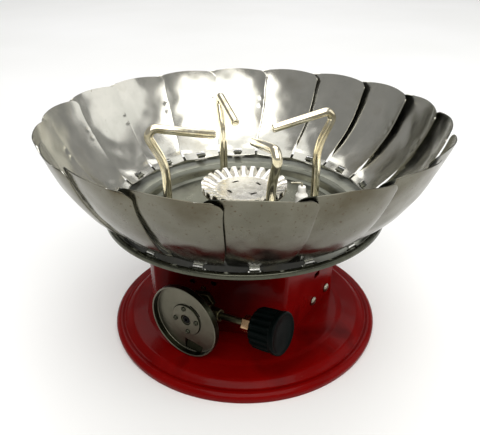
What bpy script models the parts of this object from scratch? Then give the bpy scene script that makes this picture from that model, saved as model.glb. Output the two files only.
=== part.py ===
# Portable gas burner with a folding petal windshield, in metres, +Z up.
# The origin is under the middle of the base, on the surface it stands on.
# The cartridge connector faces -Y and the control knob sticks out towards +X.

import math

import bmesh
import bpy
from mathutils import Matrix, Vector

mm = 0.001

# Shared clearances and sheet thicknesses
gap = 0.3 * mm              # between two pieces that touch
turnGap = 0.2 * mm          # around a shaft that turns
cutOverrun = 2.0 * mm       # how far a cutter passes the face it cuts
mergeDistance = 0.01 * mm   # points closer than this are one point
baseSheet = 1.0 * mm
housingSheet = 1.0 * mm
panSheet = 0.8 * mm
petalSheet = 0.5 * mm
roundSteps = 44             # facets of a large turned piece
smallSteps = 20             # facets of a small turned piece

# Base dish
platformMargin = 1.2 * mm   # the platform beyond the drum that stands on it
platformHeight = 7.7 * mm
shoulderWidth = 12.5 * mm
shoulderDrop = 1.0 * mm
skirtWidth = 8.5 * mm
beadHeight = 5.0 * mm
footWidth = 4.0 * mm

# Housing: a drum with a flat behind the connector, turned a little, and one towards the knob
drumRadius = 55.8 * mm
housingHeight = 58.3 * mm
frontTurn = math.radians(22.3)
legToFlat = 0.5 * mm        # between the front flat and the bush of the leg in front of it
rightInset = 15.4 * mm
housingFold = 3.0 * mm
sideSlotLength = 6.5 * mm
sideSlotHeight = 3.4 * mm
sideSlotY = 16.6 * mm
sideSlotDrop = 16.0 * mm
screwHoleRadius = 1.6 * mm
screwHolePlace = -16.6 * mm
screwHoleRise = 9.7 * mm
screwHoleSpread = 6.0 * mm
screwHoleDrop = 4.0 * mm

# Bracket and rivets that tie the housing to the base
bracketLength = 26.0 * mm
bracketFoot = 9.0 * mm
bracketHeight = 12.0 * mm
bracketY = 21.0 * mm
rivetSpacing = 16.8 * mm
rivetRise = 7.3 * mm
rivetRadius = 1.5 * mm
rivetHeadRadius = 2.8 * mm
rivetHeadHeight = 1.4 * mm
rivetTailHeight = 0.8 * mm

# Pan
panFloorMargin = 0.7 * mm   # the pan's floor beyond the drum under it
panDepth = 6.1 * mm
panWallRun = 5.0 * mm
panRimWidth = 20.7 * mm
panBeadWidth = 2.8 * mm
panBeadRise = 3.4 * mm
panBeadDepth = 2.0 * mm

# Windshield petals
petalCount = 18
petalPhase = math.radians(7.0)
pivotInset = 4.7 * mm
pivotRise = 5.0 * mm
petalLength = 60.0 * mm
petalFoot = 3.2 * mm
petalBow = 92.0 * mm
petalLean = math.radians(52.9)
petalTwist = math.radians(4.6)
petalCup = 66.0 * mm
scallopDrop = 3.2 * mm
slotHalfLength = 2.9 * mm
slotHalfHeight = 1.7 * mm

# Pan tabs that the petals hang on
tabWidth = 8.0 * mm
tongueGap = 0.6 * mm
tabSheet = 0.8 * mm
tabSetback = 1.6 * mm
tabReach = 2.4 * mm

# Pot supports
supportCount = 4
supportPhase = math.radians(50.7)
supportWire = 2.4 * mm
legInset = 12.5 * mm
legBelowPan = 6.5 * mm
legStraight = 36.0 * mm
elbowOut = 8.2 * mm
elbowRise = 52.6 * mm
crownOut = 5.2 * mm
crownRise = 56.8 * mm
tipIn = 27.5 * mm
tipRise = 49.8 * mm
supportBend = 4.0 * mm
tipTaper = 1.2 * mm
legHeadWidth = 1.1 * mm
legHeadHeight = 1.6 * mm

# Bushes around the legs
bushFlangeWidth = 1.0 * mm
bushFlangeHeight = 1.3 * mm
bushWall = 1.2 * mm
bushSleeveLength = 3.4 * mm

# Burner
burnerNeckWall = 2.2 * mm
burnerNeckHeight = 4.5 * mm
burnerCupRadius = 23.6 * mm
burnerCupHeight = 15.7 * mm
burnerWall = 1.2 * mm
mixerRadius = 7.5 * mm
mixerWall = 1.0 * mm
mixerLength = 27.0 * mm
mixerInCup = 4.5 * mm
airHoleRadius = 2.2 * mm
airHoleRise = 7.0 * mm
crownOverhang = 0.4 * mm
fluteWidth = 8.0 * mm
crownSheet = 0.6 * mm
fluteCount = 26
fluteDepth = 1.6 * mm
crownLift = 1.6 * mm
crownSlotLength = 4.0 * mm
crownSlotWidth = 1.6 * mm
crownSlotRadius = 9.5 * mm
crownSlotPhase = math.radians(-24.0)
burnerNutWidth = 4.2 * mm
burnerNutHeight = 5.0 * mm
jetHeight = 5.5 * mm
jetTipRadius = 2.6 * mm
jetTipHeight = 4.0 * mm
jetBore = 0.6 * mm
gasTubeRadius = 1.6 * mm
gasTubeBend = 7.0 * mm
gasTubeLead = 6.0 * mm

# Valve, stem and knob
valveX = 0.4 * mm
cupClearance = 0.4 * mm     # between the connector's cup and the base
valveBack = 4.5 * mm
stemOut = 8.9 * mm          # from the front flat out to the stem's axis
stemTilt = math.radians(7.2)
barrelRadius = 5.5 * mm
hexWidth = 3.0 * mm
hexHeight = 4.0 * mm
tailRadius = 4.6 * mm
tailLength = 9.4 * mm
locknutWidth = 3.1 * mm
locknutHeight = 3.5 * mm
bossRadius = 4.8 * mm
bossLength = 15.0 * mm
bossBoreDepth = 4.0 * mm
stemRadius = 1.9 * mm
stemInKnob = 8.0 * mm
stemNutRadius = 4.6 * mm
stemNutLength = 6.4 * mm
stemNutPlace = 30.4 * mm
knobPlace = 37.6 * mm
knobLength = 15.8 * mm
knobFlangeLength = 3.0 * mm
knobRadius = 10.4 * mm
knobFlangeRadius = 11.3 * mm
knobRibDepth = 0.55 * mm
knobRibCount = 18

# Cartridge connector
cupAhead = 14.0 * mm        # from the stem's axis to the cup's open face
cupRadius = 21.2 * mm
cupDepth = 3.4 * mm
cupWall = 1.0 * mm
cupLip = 0.8 * mm
cupNeckRadius = 5.0 * mm
notchWidth = 12.0 * mm
notchHeight = 5.4 * mm
hookSlotRadius = 9.8 * mm
hookSlotWidth = 0.9 * mm
hookSlotFrom = math.radians(30.0)
hookSlotTo = math.radians(74.0)
hubRadius = 9.4 * mm
hubHeight = 0.6 * mm
hubBore = 2.4 * mm
sealHeight = 1.6 * mm
sealBore = 1.0 * mm
pinCircle = 7.0 * mm
pinRadius = 1.4 * mm
pinHeight = 0.5 * mm
pinPhase = math.radians(8.0)

# Igniter electrode
electrodeStandoff = 8.2 * mm
electrodeAngle = math.radians(31.0)
ceramicRadius = 3.5 * mm
ceramicTipRadius = 2.2 * mm
ceramicFlangeRadius = 4.8 * mm
ceramicFlangeHeight = 1.8 * mm
ceramicBelow = 6.0 * mm
ceramicStep = 12.0 * mm
ceramicHeight = 18.6 * mm
electrodeWire = 0.6 * mm
electrodeRise = 1.6 * mm
electrodeReach = 6.2 * mm
electrodeBend = 1.2 * mm
leadRadius = 0.9 * mm
leadDrop = 3.4 * mm
leadLoop = 9.7 * mm
leadBend = 2.4 * mm

# Piezo igniter
piezoY = 14.0 * mm
piezoDrop = 18.6 * mm
piezoWidth = 11.0 * mm
piezoLength = 24.0 * mm
piezoNeckWall = 1.3 * mm
piezoNeckOut = 2.6 * mm
piezoBoreDepth = 11.5 * mm
piezoNutWidth = 1.8 * mm
piezoNutHeight = 2.0 * mm
buttonRadius = 4.4 * mm
buttonOut = 6.5 * mm
buttonIn = 5.5 * mm
buttonEdge = 0.6 * mm

# Radii that follow from the sizes above, from the drum outwards
platformRadius = drumRadius + platformMargin
shoulderRadius = platformRadius + shoulderWidth
baseRadius = shoulderRadius + skirtWidth
panFloorRadius = drumRadius + panFloorMargin
panRadius = panFloorRadius + panRimWidth
pivotRadius = panRadius - pivotInset
legRadius = drumRadius - legInset
bushSleeveRadius = supportWire + turnGap + bushWall
bushFlangeRadius = bushSleeveRadius + bushFlangeWidth
legHeadRadius = supportWire + legHeadWidth
burnerNeckRadius = mixerRadius + gap + burnerNeckWall
burnerNutRadius = mixerRadius + gap + burnerNutWidth
jetRadius = mixerRadius - mixerWall - gap
crownRadius = burnerCupRadius + crownOverhang
crownFlatRadius = crownRadius - fluteWidth
electrodeRadius = crownRadius + electrodeStandoff
hexRadius = tailRadius + hexWidth
locknutRadius = tailRadius + gap + locknutWidth
piezoNeckRadius = buttonRadius + turnGap + piezoNeckWall
piezoNutRadius = piezoNeckRadius + gap + piezoNutWidth

# Distances of the flats from the axis, and the places that follow them
rightFlat = drumRadius - rightInset
frontFlat = legRadius * math.cos(supportPhase - frontTurn) - bushSleeveRadius - legToFlat
stemY = (valveX * math.sin(frontTurn) - frontFlat - stemOut) / math.cos(frontTurn)
cupY = stemY - cupAhead
tabTongueWidth = 2 * (slotHalfLength - tongueGap)

# Heights that follow, from the ground up
housingZ = platformHeight + gap
valveZ = platformHeight + cupClearance + cupRadius
screwHoleZ = valveZ + screwHoleRise
panUnderZ = housingZ + housingHeight + gap
piezoZ = panUnderZ - piezoDrop
sideSlotZ = piezoZ - sideSlotDrop
panFloorZ = panUnderZ + panSheet
panRimZ = panFloorZ + panDepth
pivotZ = panRimZ + pivotRise
burnerZ = panFloorZ + gap
crownZ = burnerZ + burnerCupHeight
ceramicTopZ = panFloorZ + ceramicHeight

# Outlines as shares of the sizes that they follow
beadShares = ((0.955, 0.62), (0.985, 0.98), (1.0, 0.52), (0.993, 0.12))
rivetCrownShares = (0.72, 0.78)
panWallShares = ((0.0, 0.0), (0.45, 0.22), (0.72, 0.78), (1.15, 1.0))
panBeadShares = ((0.0, 0.0), (0.35, 0.78), (0.68, 1.0), (0.94, 0.84), (1.0, 0.62))
panLipShare = 0.94
petalRowShares = (0.06, 0.13, 0.23, 0.38, 0.56, 0.74, 0.90, 0.97, 1.0)
petalLapShare = 1.183
petalHalfShares = (0.59, 0.66, 0.73, 0.81, 0.88, 0.95, 0.985, 0.90, 0.70)
petalTwistShares = (0.72, 1.0, 1.0, 1.0, 1.0, 1.0, 1.0, 1.0, 1.0)
petalFootHalfShare = 0.55
petalFootShares = (0.965, 0.98, 1.02)
petalColumnShares = (-1.0, -0.62, -0.26, 0.26, 0.62, 1.0)
slotColumnShare = 0.26
slotBlendShare = 0.17
tipTaperShares = ((1.0, 1.0), (0.3, 0.8), (0.0, 0.45))
cornerShare = 0.48
cupShares = ((0.30, 0.34), (0.72, 0.66), (1.0, 0.93))
cupSlantShare = 0.6
crownRingShares = ((0.0, 0.0, 0.0), (0.55, 0.5, 0.85), (1.0, 1.0, 1.0))
crownSinkShare = 0.8
jetInTubeShare = 0.45
jetConeShare = 1.2
notchPlaceShare = 0.35
notchDropShare = 0.68
knobRingShares = ((0.0, 0.80, 0.0), (0.04, 0.93, 0.6), (0.10, 0.98, 1.0), (0.78, 1.0, 1.0))


def clearScene():
    for item in list(bpy.data.objects):
        bpy.data.objects.remove(item, do_unlink=True)


def makeCollection(name):
    made = bpy.data.collections.new(name)
    bpy.context.scene.collection.children.link(made)
    return made


clearScene()
partsCollection = makeCollection("portable_gas_burner")
cuttersCollection = makeCollection("cutters")


def makeMaterial(name, colour, roughness, metallic):
    material = bpy.data.materials.new(name)
    material.use_nodes = True
    shader = material.node_tree.nodes["Principled BSDF"]
    shader.inputs["Base Color"].default_value = (*colour, 1.0)
    shader.inputs["Roughness"].default_value = roughness
    shader.inputs["Metallic"].default_value = metallic
    return material


redPaint = makeMaterial("red_paint", (0.35, 0.012, 0.010), 0.18, 0.0)
polishedSteel = makeMaterial("polished_steel", (0.62, 0.61, 0.58), 0.16, 1.0)
panSteel = makeMaterial("pan_steel", (0.50, 0.51, 0.50), 0.22, 1.0)
platedWire = makeMaterial("plated_wire", (0.70, 0.63, 0.48), 0.15, 1.0)
chromePlate = makeMaterial("chrome_plate", (0.72, 0.71, 0.68), 0.12, 1.0)
dullSteel = makeMaterial("dull_steel", (0.42, 0.42, 0.40), 0.35, 1.0)
brassMetal = makeMaterial("brass_metal", (0.70, 0.50, 0.28), 0.28, 1.0)
blackPlastic = makeMaterial("black_plastic", (0.012, 0.014, 0.014), 0.35, 0.0)
whiteCeramic = makeMaterial("white_ceramic", (0.85, 0.84, 0.80), 0.25, 0.0)
blackRubber = makeMaterial("black_rubber", (0.02, 0.02, 0.02), 0.7, 0.0)
redPlastic = makeMaterial("red_plastic", (0.45, 0.02, 0.02), 0.3, 0.0)


def addObject(name, mesh, material=None, collection=None):
    made = bpy.data.objects.new(name, mesh)
    (collection or partsCollection).objects.link(made)
    if material:
        mesh.materials.append(material)
    return made


def meshFrom(name, points, faces):
    mesh = bpy.data.meshes.new(name)
    mesh.from_pydata([tuple(point) for point in points], [], faces)
    mesh.update()
    return mesh


def smooth(item, angle=math.radians(35.0)):
    item.data.shade_smooth()
    item.data.set_sharp_from_angle(angle=angle)
    return item


def addScrew(item, steps):
    screw = item.modifiers.new("turn", 'SCREW')
    screw.angle = math.tau
    screw.steps = steps
    screw.render_steps = steps
    screw.use_merge_vertices = True
    screw.merge_threshold = mergeDistance
    screw.use_normal_calculate = False
    return screw


def turned(name, profile, steps, material, closed=True, sheet=None):
    """A turned piece: profile points (radius, height), down the outside first."""
    count = len(profile)
    edges = [(index, index + 1) for index in range(count - 1)]
    if closed:
        edges.append((count - 1, 0))
    mesh = bpy.data.meshes.new(name)
    mesh.from_pydata([(radius, 0.0, height) for radius, height in profile], edges, [])
    item = addObject(name, mesh, material)
    addScrew(item, steps)
    if sheet:
        solid = item.modifiers.new("sheet", 'SOLIDIFY')
        solid.thickness = sheet
        solid.offset = -1.0
        solid.use_even_offset = True
    return item


def baked(item):
    """Turns an object's modifiers into plain mesh, so that it can be cut or joined."""
    graph = bpy.context.evaluated_depsgraph_get()
    mesh = bpy.data.meshes.new_from_object(item.evaluated_get(graph))
    item.modifiers.clear()
    item.data = mesh
    return item


def boolean(item, other, operation):
    cut = item.modifiers.new(operation.lower(), 'BOOLEAN')
    cut.operation = operation
    cut.solver = 'EXACT'
    cut.object = other
    return item


def hideCutter(item):
    item.hide_render = True
    item.display_type = 'WIRE'
    for collection in list(item.users_collection):
        collection.objects.unlink(item)
    cuttersCollection.objects.link(item)
    return item


def along(direction):
    """A rotation that takes +Z to the given direction."""
    return Vector(direction).to_track_quat('Z', 'Y').to_matrix().to_4x4()


def rod(name, radius, length, place, direction, material=None, steps=smallSteps, bevel=0.0):
    """A cylinder that starts at its place and runs along its direction."""
    shape = bmesh.new()
    bmesh.ops.create_cone(shape, cap_ends=True, segments=steps, radius1=radius, radius2=radius, depth=length)
    bmesh.ops.translate(shape, verts=shape.verts, vec=(0.0, 0.0, length / 2))
    mesh = bpy.data.meshes.new(name)
    shape.to_mesh(mesh)
    shape.free()
    item = addObject(name, mesh, material)
    item.matrix_world = Matrix.Translation(place) @ along(direction)
    if bevel:
        edge = item.modifiers.new("edge", 'BEVEL')
        edge.width = bevel
        edge.segments = 1
        edge.limit_method = 'ANGLE'
        edge.angle_limit = math.radians(60.0)
    return item


def hexNut(name, radius, height, bore, place, direction):
    """A hexagon with a round bore, which starts at its place and runs along its direction."""
    nut = rod(name, radius, height, place, direction, brassMetal, steps=6)
    start = Vector(place) - Vector(direction) * cutOverrun
    hole = rod("cut_" + name, bore, height + 2 * cutOverrun, start, direction)
    boolean(nut, hideCutter(hole), 'DIFFERENCE')
    return nut


def block(name, size, centre, material=None):
    shape = bmesh.new()
    bmesh.ops.create_cube(shape, size=1.0)
    bmesh.ops.scale(shape, vec=size, verts=shape.verts)
    mesh = bpy.data.meshes.new(name)
    shape.to_mesh(mesh)
    shape.free()
    item = addObject(name, mesh, material)
    item.location = centre
    return item


def prism(name, outline, length, material=None):
    """A flat outline carried straight along +Z."""
    shape = bmesh.new()
    face = shape.faces.new([shape.verts.new(point) for point in outline])
    sides = bmesh.ops.extrude_face_region(shape, geom=[face])["geom"]
    moved = [item for item in sides if isinstance(item, bmesh.types.BMVert)]
    bmesh.ops.translate(shape, verts=moved, vec=(0.0, 0.0, length))
    bmesh.ops.recalc_face_normals(shape, faces=shape.faces)
    mesh = bpy.data.meshes.new(name)
    shape.to_mesh(mesh)
    shape.free()
    return addObject(name, mesh, material)


def rounded(points, radius, steps=4):
    """A path whose corners are replaced by arcs of the given radius."""
    path = [Vector(points[0])]
    for before, corner, after in zip(points, points[1:], points[2:]):
        corner = Vector(corner)
        back = Vector(before) - corner
        ahead = Vector(after) - corner
        half = back.angle(ahead) / 2
        cut = min(radius / math.tan(half), cornerShare * back.length, cornerShare * ahead.length)
        start = corner + back.normalized() * cut
        end = corner + ahead.normalized() * cut
        reach = cut * math.tan(half)
        toCentre = (back.normalized() + ahead.normalized()).normalized()
        centre = corner + toCentre * (reach / math.sin(half))
        first = start - centre
        last = end - centre
        sweep = first.angle(last)
        for index in range(steps + 1):
            share = index / steps
            turn = (first * math.sin((1 - share) * sweep) + last * math.sin(share * sweep)) / math.sin(sweep)
            path.append(centre + turn)
    path.append(Vector(points[-1]))
    return path


def wire(name, path, radius, material, shares=None):
    """A round wire along a path; shares scale its radius point by point."""
    curve = bpy.data.curves.new(name, 'CURVE')
    curve.dimensions = '3D'
    curve.bevel_depth = radius
    curve.bevel_resolution = 2
    curve.use_fill_caps = True
    spline = curve.splines.new('POLY')
    spline.points.add(len(path) - 1)
    for index, place in enumerate(path):
        spline.points[index].co = (*place, 1.0)
        spline.points[index].radius = shares[index] if shares else 1.0
    item = bpy.data.objects.new(name, curve)
    partsCollection.objects.link(item)
    curve.materials.append(material)
    return item


# Takes a piece's own X to the part's X, its Y to the part's Z, and its Z to the part's -Y
upright = Matrix.Rotation(math.radians(90.0), 4, 'X')


def polar(radius, angle, height):
    return Vector((radius * math.cos(angle), radius * math.sin(angle), height))


def makeBase():
    outer = [(0.0, platformHeight), (platformRadius, platformHeight)]
    outer.append((platformRadius + shoulderDrop, platformHeight - shoulderDrop))
    outer.append((shoulderRadius, platformHeight - shoulderDrop))
    outer.append((shoulderRadius + shoulderDrop, platformHeight - 2 * shoulderDrop))
    for across, up in beadShares:
        outer.append((baseRadius * across, beadHeight * up))
    outer.append((baseRadius - baseSheet, 0.0))
    outer.append((baseRadius - footWidth, 0.0))
    return smooth(turned("base_dish", outer, roundSteps, redPaint, closed=False, sheet=baseSheet))


def frontPoint(beside, out, height):
    """A point of the front flat's own frame: beside its middle, out from its outer face, above the ground."""
    along = Vector((math.cos(frontTurn), math.sin(frontTurn), 0.0))
    return along * beside + frontOut() * (frontFlat + out) + Vector((0.0, 0.0, height))


def frontOut():
    return Vector((math.sin(frontTurn), -math.cos(frontTurn), 0.0))


def drumOutline():
    """The housing's outer outline, anticlockwise from the fold between its two flats."""
    start = math.acos(rightFlat / drumRadius)
    end = 1.5 * math.pi + frontTurn - math.acos(frontFlat / drumRadius)
    outline = [(rightFlat, (rightFlat * math.sin(frontTurn) - frontFlat) / math.cos(frontTurn))]
    arcSteps = 30
    for index in range(arcSteps + 1):
        angle = start + (end - start) * index / arcSteps
        outline.append((drumRadius * math.cos(angle), drumRadius * math.sin(angle)))
    return outline


def makeHousing():
    outline = drumOutline()
    count = len(outline)
    points = [(x, y, housingZ) for x, y in outline]
    points += [(x, y, housingZ + housingHeight) for x, y in outline]
    faces = [(i, (i + 1) % count, (i + 1) % count + count, i + count) for i in range(count)]
    item = addObject("housing", meshFrom("housing", points, faces), redPaint)
    fold = item.modifiers.new("folds", 'BEVEL')
    fold.width = housingFold
    fold.segments = 3
    fold.limit_method = 'ANGLE'
    fold.angle_limit = math.radians(25.0)
    solid = item.modifiers.new("sheet", 'SOLIDIFY')
    solid.thickness = housingSheet
    solid.offset = -1.0
    wall = housingSheet + 2 * cutOverrun
    baked(item)
    cutters = [block("cut_side_slot", (wall, sideSlotLength, sideSlotHeight),
                     (rightFlat - housingSheet / 2, sideSlotY, sideSlotZ))]
    cutters.append(rod("cut_piezo", piezoNeckRadius + gap, wall,
                       (rightFlat - housingSheet - cutOverrun, piezoY, piezoZ), (1, 0, 0)))
    cutters.append(rod("cut_valve", tailRadius + gap, wall,
                       frontPoint(tailBeside(), cutOverrun, valveZ), -frontOut()))
    for side in (-1, 0, 1):
        height = screwHoleZ + (abs(side) * screwHoleDrop - screwHoleDrop / 2)
        place = frontPoint(screwHolePlace + side * screwHoleSpread, cutOverrun, height)
        cutters.append(rod("cut_screw_%d" % (side + 1), screwHoleRadius, wall, place, -frontOut(), steps=12))
    for side in (-1, 1):
        place = (rightFlat - housingSheet - cutOverrun,
                 bracketY + side * rivetSpacing / 2, housingZ + rivetRise)
        cutters.append(rod("cut_rivet_%d" % (side + 1), rivetRadius + gap, wall, place, (1, 0, 0), steps=12))
    for cutter in cutters:
        boolean(item, hideCutter(cutter), 'DIFFERENCE')
    return smooth(item)


def makeBracket():
    """An angle strip behind the right flat, standing on the base."""
    inside = rightFlat - housingSheet - gap
    bracket = block("base_bracket", (housingSheet, bracketLength, bracketHeight),
                    (inside - housingSheet / 2, bracketY, housingZ + bracketHeight / 2), dullSteel)
    foot = block("join_bracket_foot", (bracketFoot, bracketLength, housingSheet),
                 (inside - bracketFoot / 2, bracketY, housingZ + housingSheet / 2))
    boolean(bracket, hideCutter(foot), 'UNION')
    for side in (-1, 1):
        place = (inside - housingSheet - cutOverrun, bracketY + side * rivetSpacing / 2, housingZ + rivetRise)
        hole = rod("cut_bracket_%d" % (side + 1), rivetRadius + gap, housingSheet + 2 * cutOverrun,
                   place, (1, 0, 0), steps=12)
        boolean(bracket, hideCutter(hole), 'DIFFERENCE')
    return bracket


def makeRivets():
    """Each rivet passes the housing wall and the bracket, with a head on both sides."""
    grip = 2 * housingSheet + gap
    for side, word in ((-1, "front"), (1, "rear")):
        start = grip / 2 + gap
        across, up = rivetCrownShares
        profile = [(0.0, start + rivetHeadHeight), (rivetHeadRadius * across, start + rivetHeadHeight * up)]
        profile += [(rivetHeadRadius, start), (rivetRadius, start), (rivetRadius, -start)]
        profile += [(rivetHeadRadius, -start), (rivetHeadRadius, -start - rivetTailHeight)]
        profile.append((0.0, -start - rivetTailHeight))
        rivet = turned("side_rivet_" + word, profile, 12, dullSteel, closed=False)
        place = (rightFlat - grip / 2, bracketY + side * rivetSpacing / 2, housingZ + rivetRise)
        rivet.matrix_world = Matrix.Translation(place) @ along((1, 0, 0))
        smooth(rivet)


def petalAngle(index):
    return petalPhase + math.tau * index / petalCount


def petalReach(along):
    """How far out from its pivot the petal's bow is, that far along it."""
    return petalBow * (math.cos(petalLean - along / petalBow) - math.cos(petalLean))


def petalTop():
    """Half a petal's width at its top, a little more than half its share of the way round."""
    return petalLapShare * (pivotRadius + petalReach(petalLength)) * math.pi / petalCount


def tabBlocks():
    """Size and centre of a tab's strip, up from the rim, and of its tongue, in through the petal's slot."""
    low = panRimZ - panSheet / 2
    high = pivotZ + tabSheet / 2
    middle = pivotRadius + tabSetback + tabSheet / 2
    inner = pivotRadius - tabReach
    strip = ((tabSheet, tabWidth, high - low), (middle, 0.0, (low + high) / 2))
    tongue = ((middle - inner, tabTongueWidth, tabSheet), ((inner + middle) / 2, 0.0, pivotZ))
    return strip, tongue


def makePan():
    edge = panRadius - panBeadWidth
    profile = [(burnerNeckRadius - gap, panFloorZ)]
    for across, up in panWallShares:
        profile.append((panFloorRadius + panWallRun * across, panFloorZ + panDepth * up))
    for across, up in panBeadShares:
        profile.append((edge + panBeadWidth * across, panRimZ + panBeadRise * up))
    profile.append((edge + panBeadWidth * panLipShare, panRimZ + panBeadRise - panBeadDepth))
    pan = turned("pan", profile, petalCount * 3, panSteel, closed=False, sheet=panSheet)
    baked(pan)
    for index in range(petalCount):
        turn = Matrix.Rotation(petalAngle(index), 4, 'Z')
        for word, (size, centre) in zip(("strip", "tongue"), tabBlocks()):
            piece = block("join_tab_%s_%02d" % (word, index), size, centre)
            piece.matrix_world = turn @ Matrix.Translation(centre)
            boolean(pan, hideCutter(piece), 'UNION')
    drop = panFloorZ - panSheet - cutOverrun
    deep = panSheet + 2 * cutOverrun
    for index in range(supportCount):
        place = polar(legRadius, supportAngle(index), drop)
        hole = rod("cut_leg_%d" % index, bushSleeveRadius + gap, deep, place, (0, 0, 1))
        boolean(pan, hideCutter(hole), 'DIFFERENCE')
    place = polar(electrodeRadius, electrodeAngle, drop)
    hole = rod("cut_electrode", ceramicRadius + gap, deep, place, (0, 0, 1))
    boolean(pan, hideCutter(hole), 'DIFFERENCE')
    return smooth(pan)


def petalPoint(across, along, twist):
    """A point of the petal's middle surface, from its pivot: across it and along its bow."""
    lean = petalLean - along / petalBow
    out = petalReach(along)
    up = petalBow * (math.sin(petalLean) - math.sin(lean))
    push = across * math.sin(twist) - across ** 2 / (2 * petalCup)
    return (out + push * math.cos(lean), across, up - push * math.sin(lean))


def petalMesh():
    """Rows up the petal; the middle cells beside the pivot are left out as the tab's slot."""
    topHalf = petalTop()
    footHalf = petalFootHalfShare * topHalf
    slotShare = slotHalfLength / footHalf
    rows = []
    for place, share in zip((-petalFoot, -slotHalfHeight, slotHalfHeight), petalFootShares):
        rows.append((place, footHalf * share, 0.0))
    free = petalLength - slotHalfHeight
    for share, half, twist in zip(petalRowShares, petalHalfShares, petalTwistShares):
        rows.append((slotHalfHeight + free * share, topHalf * half, petalTwist * twist))
    points = []
    for place, half, twist in rows:
        share = max(0.0, place / petalLength)
        inner = slotShare + (slotColumnShare - slotShare) * min(1.0, share / slotBlendShare)
        for column in petalColumnShares:
            spot = math.copysign(inner, column) if abs(column) <= slotColumnShare else column
            across = half * spot
            drop = scallopDrop * (across / topHalf) ** 2 * share ** 3
            points.append(petalPoint(across, place - drop, twist))
    wide = len(petalColumnShares)
    faces = []
    for row in range(len(rows) - 1):
        for column in range(wide - 1):
            if row == 1 and column == wide // 2 - 1:
                continue
            first = row * wide + column
            faces.append((first, first + 1, first + 1 + wide, first + wide))
    return meshFrom("petal", points, faces)


def makePetals():
    mesh = petalMesh()
    mesh.materials.append(polishedSteel)
    mesh.shade_smooth()
    for index in range(petalCount):
        petal = addObject("petal_%02d" % (index + 1), mesh)
        petal.location = polar(pivotRadius, petalAngle(index), pivotZ)
        petal.rotation_euler = (0.0, 0.0, petalAngle(index))
        solid = petal.modifiers.new("sheet", 'SOLIDIFY')
        solid.thickness = petalSheet
        solid.offset = 0.0


def supportAngle(index):
    return supportPhase + math.tau * index / supportCount


def makeSupports():
    """Each support is one bent wire whose leg turns in a bush in the pan."""
    foot = -panSheet - legBelowPan
    corners = [(0.0, 0.0, 0.0), (0.0, 0.0, legStraight), (elbowOut, 0.0, elbowRise)]
    corners += [(crownOut, 0.0, crownRise), (-tipIn, 0.0, tipRise)]
    bent = rounded(corners, supportBend)
    last = bent[-1]
    inwards = (bent[-1] - bent[-2]).normalized()
    path = [Vector((0.0, 0.0, foot)), Vector((0.0, 0.0, foot + legHeadHeight))]
    path.append(Vector((0.0, 0.0, foot + legHeadHeight + gap)))
    path += bent[1:-1]
    head = legHeadRadius / supportWire
    shares = [head, head] + [1.0] * (len(path) - 2)
    for back, size in tipTaperShares:
        path.append(last - inwards * tipTaper * back)
        shares.append(size)
    for index in range(supportCount):
        support = wire("pot_support_%d" % (index + 1), path, supportWire, platedWire, shares)
        support.location = polar(legRadius, supportAngle(index), panFloorZ)
        support.rotation_euler = (0.0, 0.0, supportAngle(index))


def makeBushes():
    bore = supportWire + turnGap
    for index in range(supportCount):
        profile = [(bushFlangeRadius, gap + bushFlangeHeight), (bushFlangeRadius, gap)]
        profile += [(bushSleeveRadius, gap), (bushSleeveRadius, gap - bushSleeveLength)]
        profile += [(bore, gap - bushSleeveLength), (bore, gap + bushFlangeHeight)]
        bush = turned("support_bush_%d" % (index + 1), profile, 16, dullSteel)
        bush.location = polar(legRadius, supportAngle(index), panFloorZ)
        smooth(bush)


def makeBurnerCup():
    rise = burnerCupHeight - burnerNeckHeight
    run = burnerCupRadius - burnerNeckRadius
    outer = [(burnerNeckRadius, burnerZ), (burnerNeckRadius, burnerZ + burnerNeckHeight)]
    inner = [(mixerRadius + gap, burnerZ), (mixerRadius + gap, burnerZ + burnerNeckHeight + burnerWall)]
    for across, up in cupShares:
        outer.append((burnerNeckRadius + run * across, burnerZ + burnerNeckHeight + rise * up))
    for across, up in cupShares:
        place = burnerZ + burnerNeckHeight + rise * up + burnerWall * cupSlantShare
        inner.append((burnerNeckRadius + run * across - burnerWall, place))
    outer.append((burnerCupRadius, crownZ))
    inner[-1] = (burnerCupRadius - burnerWall, crownZ)
    return smooth(turned("burner_cup", outer[::-1] + inner, roundSteps, dullSteel))


def makeCrown():
    """A pressed lid: a flat middle and a fluted rim whose valleys rest on the cup."""
    around = fluteCount * 4
    run = crownRadius - crownFlatRadius
    base = crownZ + gap + crownSheet + fluteDepth - crownLift * crownSinkShare
    points = [(0.0, 0.0, base)]
    for share, lift, depth in crownRingShares:
        radius = crownFlatRadius + run * share
        for step in range(around):
            angle = math.tau * step / around
            wave = fluteDepth * depth * math.cos(fluteCount * angle)
            points.append(tuple(polar(radius, angle, base + crownLift * lift + wave)))
    faces = [(0, 1 + step, 1 + (step + 1) % around) for step in range(around)]
    for ring in range(len(crownRingShares) - 1):
        start = 1 + ring * around
        for step in range(around):
            ahead = (step + 1) % around
            faces.append((start + step, start + around + step, start + around + ahead, start + ahead))
    crown = addObject("burner_crown", meshFrom("burner_crown", points, faces), polishedSteel)
    solid = crown.modifiers.new("sheet", 'SOLIDIFY')
    solid.thickness = crownSheet
    solid.offset = -1.0
    baked(crown)
    for index in range(4):
        angle = crownSlotPhase + math.tau * index / 4
        deep = crownSheet + 2 * cutOverrun
        slot = block("cut_crown_%d" % index, (crownSlotWidth, crownSlotLength, deep),
                     polar(crownSlotRadius, angle, base - crownSheet / 2))
        slot.rotation_euler = (0.0, 0.0, angle)
        boolean(crown, hideCutter(slot), 'DIFFERENCE')
    return smooth(crown)


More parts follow.
